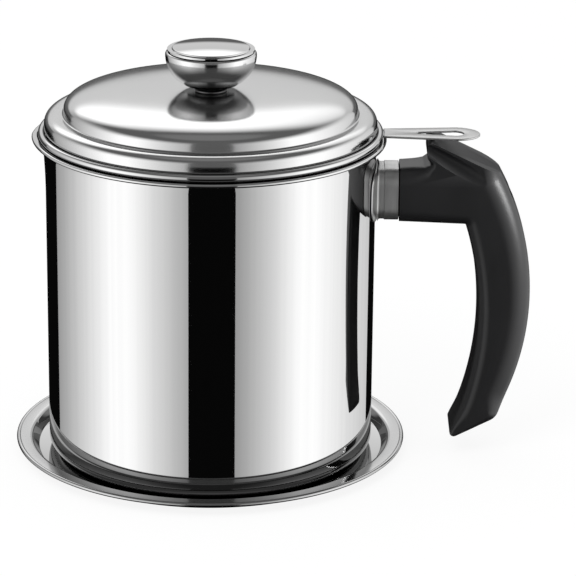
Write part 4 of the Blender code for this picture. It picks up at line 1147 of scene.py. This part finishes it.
def studio_level(tree, compass, height):
    """What the studio shows in a direction: the brightest of its dark surroundings, its dim
    ceiling and its panels. A panel's strength runs straight from its edges to its middle, as an
    eye sees it, so it is raised to a power to become light."""
    level = ramped(tree, height, *DARK_HEIGHTS, *DARK_LEVELS, "SMOOTHSTEP")
    ceiling = ramped(tree, height, *CEILING_HEIGHTS, 0, CEILING_LEVEL, "SMOOTHSTEP")
    level = worked(tree, "MAXIMUM", level, ceiling)
    for angles, heights, middle, first, last in PANELS.values():
        rise = ramped(tree, compass, *angles[:2], first, middle)
        fall = ramped(tree, compass, *angles[2:], 0, middle - last)
        strength = worked(tree, "POWER", worked(tree, "SUBTRACT", rise, fall), EYE_POWER)
        shape = worked(tree, "MULTIPLY", worked(tree, "GREATER_THAN", compass, angles[0]),
                       worked(tree, "LESS_THAN", compass, angles[3]))
        shape = worked(tree, "MULTIPLY", shape,
                       ramped(tree, height, *heights[:2], 0, 1, "SMOOTHSTEP"))
        shape = worked(tree, "MULTIPLY", shape,
                       ramped(tree, height, *heights[2:], 1, 0, "SMOOTHSTEP"))
        level = worked(tree, "MAXIMUM", level, worked(tree, "MULTIPLY", strength, shape))
    return level


def make_world():
    """White to the camera, plain and even for soft light, and the studio for reflections, which
    grow weaker from one reflection to the next."""
    world = bpy.data.worlds.new("studio")
    world.use_nodes = True
    bpy.context.scene.world = world
    tree = world.node_tree
    tree.nodes.clear()
    place = tree.nodes.new("ShaderNodeTexCoord")
    split = tree.nodes.new("ShaderNodeSeparateXYZ")
    tree.links.new(place.outputs["Generated"], split.inputs[0])
    towards = worked(tree, "MULTIPLY", split.outputs["Y"], -1)
    compass = worked(tree, "DEGREES", worked(tree, "ARCTAN2", split.outputs["X"], towards))
    height = worked(tree, "DEGREES", worked(tree, "ARCSINE", split.outputs["Z"]))
    level = worked(tree, "MULTIPLY", studio_level(tree, compass, height), MIRROR_GAIN)

    path = tree.nodes.new("ShaderNodeLightPath")
    before = worked(tree, "SUBTRACT", path.outputs["Glossy Depth"], 1)
    mirrored = worked(tree, "MULTIPLY", level, worked(tree, "POWER", BOUNCE_SHARE, before))
    seen = worked(tree, "MULTIPLY", path.outputs["Is Glossy Ray"], mirrored)
    other = worked(tree, "SUBTRACT", 1, path.outputs["Is Glossy Ray"])
    even = worked(tree, "MULTIPLY", other, EVEN_LIGHT)
    total = worked(tree, "MAXIMUM", worked(tree, "ADD", seen, even),
                   path.outputs["Is Camera Ray"])
    back = add(tree, "ShaderNodeBackground", Color=WHITE)
    tree.links.new(total, back.inputs["Strength"])
    out = tree.nodes.new("ShaderNodeOutputWorld")
    tree.links.new(back.outputs[0], out.inputs["Surface"])


# Each lamp's place, the point that it faces, its size, its power, and the pieces that it lights
# where these aren't all
LAMPS = {
    "key_light": ((-0.6, -0.9, 1.3), (0, 0, 0.06), (0.8, 0.8), 6.0, ()),
    "handle_light": ((1.5, -0.25, 0.55), (0.1, 0, 0.08), (0.5, 0.7), 22.0, ("handle_moulding",)),
}


def make_lamp(name, place, aim, size, power, only):
    """A soft lamp, turned to face a point. Where it names pieces, it lights and gleams on those
    alone; steel doesn't mirror the others."""
    light = bpy.data.lights.new(name, "AREA")
    light.shape = "RECTANGLE"
    light.size, light.size_y = size
    light.energy = power
    lamp = placed(name, light)
    lamp.location = place
    lamp.rotation_euler = (Vector(aim) - Vector(place)).to_track_quat("-Z", "Y").to_euler()
    lamp.visible_glossy = bool(only)
    if only:
        lit = bpy.data.collections.new(name + "_reach")
        for piece in only:
            lit.objects.link(bpy.data.objects[piece])
        lamp.light_linking.receiver_collection = lit


make_camera()
make_floor()
make_world()
for name, settings in LAMPS.items():
    make_lamp(name, *settings)
bpy.context.scene.view_settings.view_transform = "Standard"
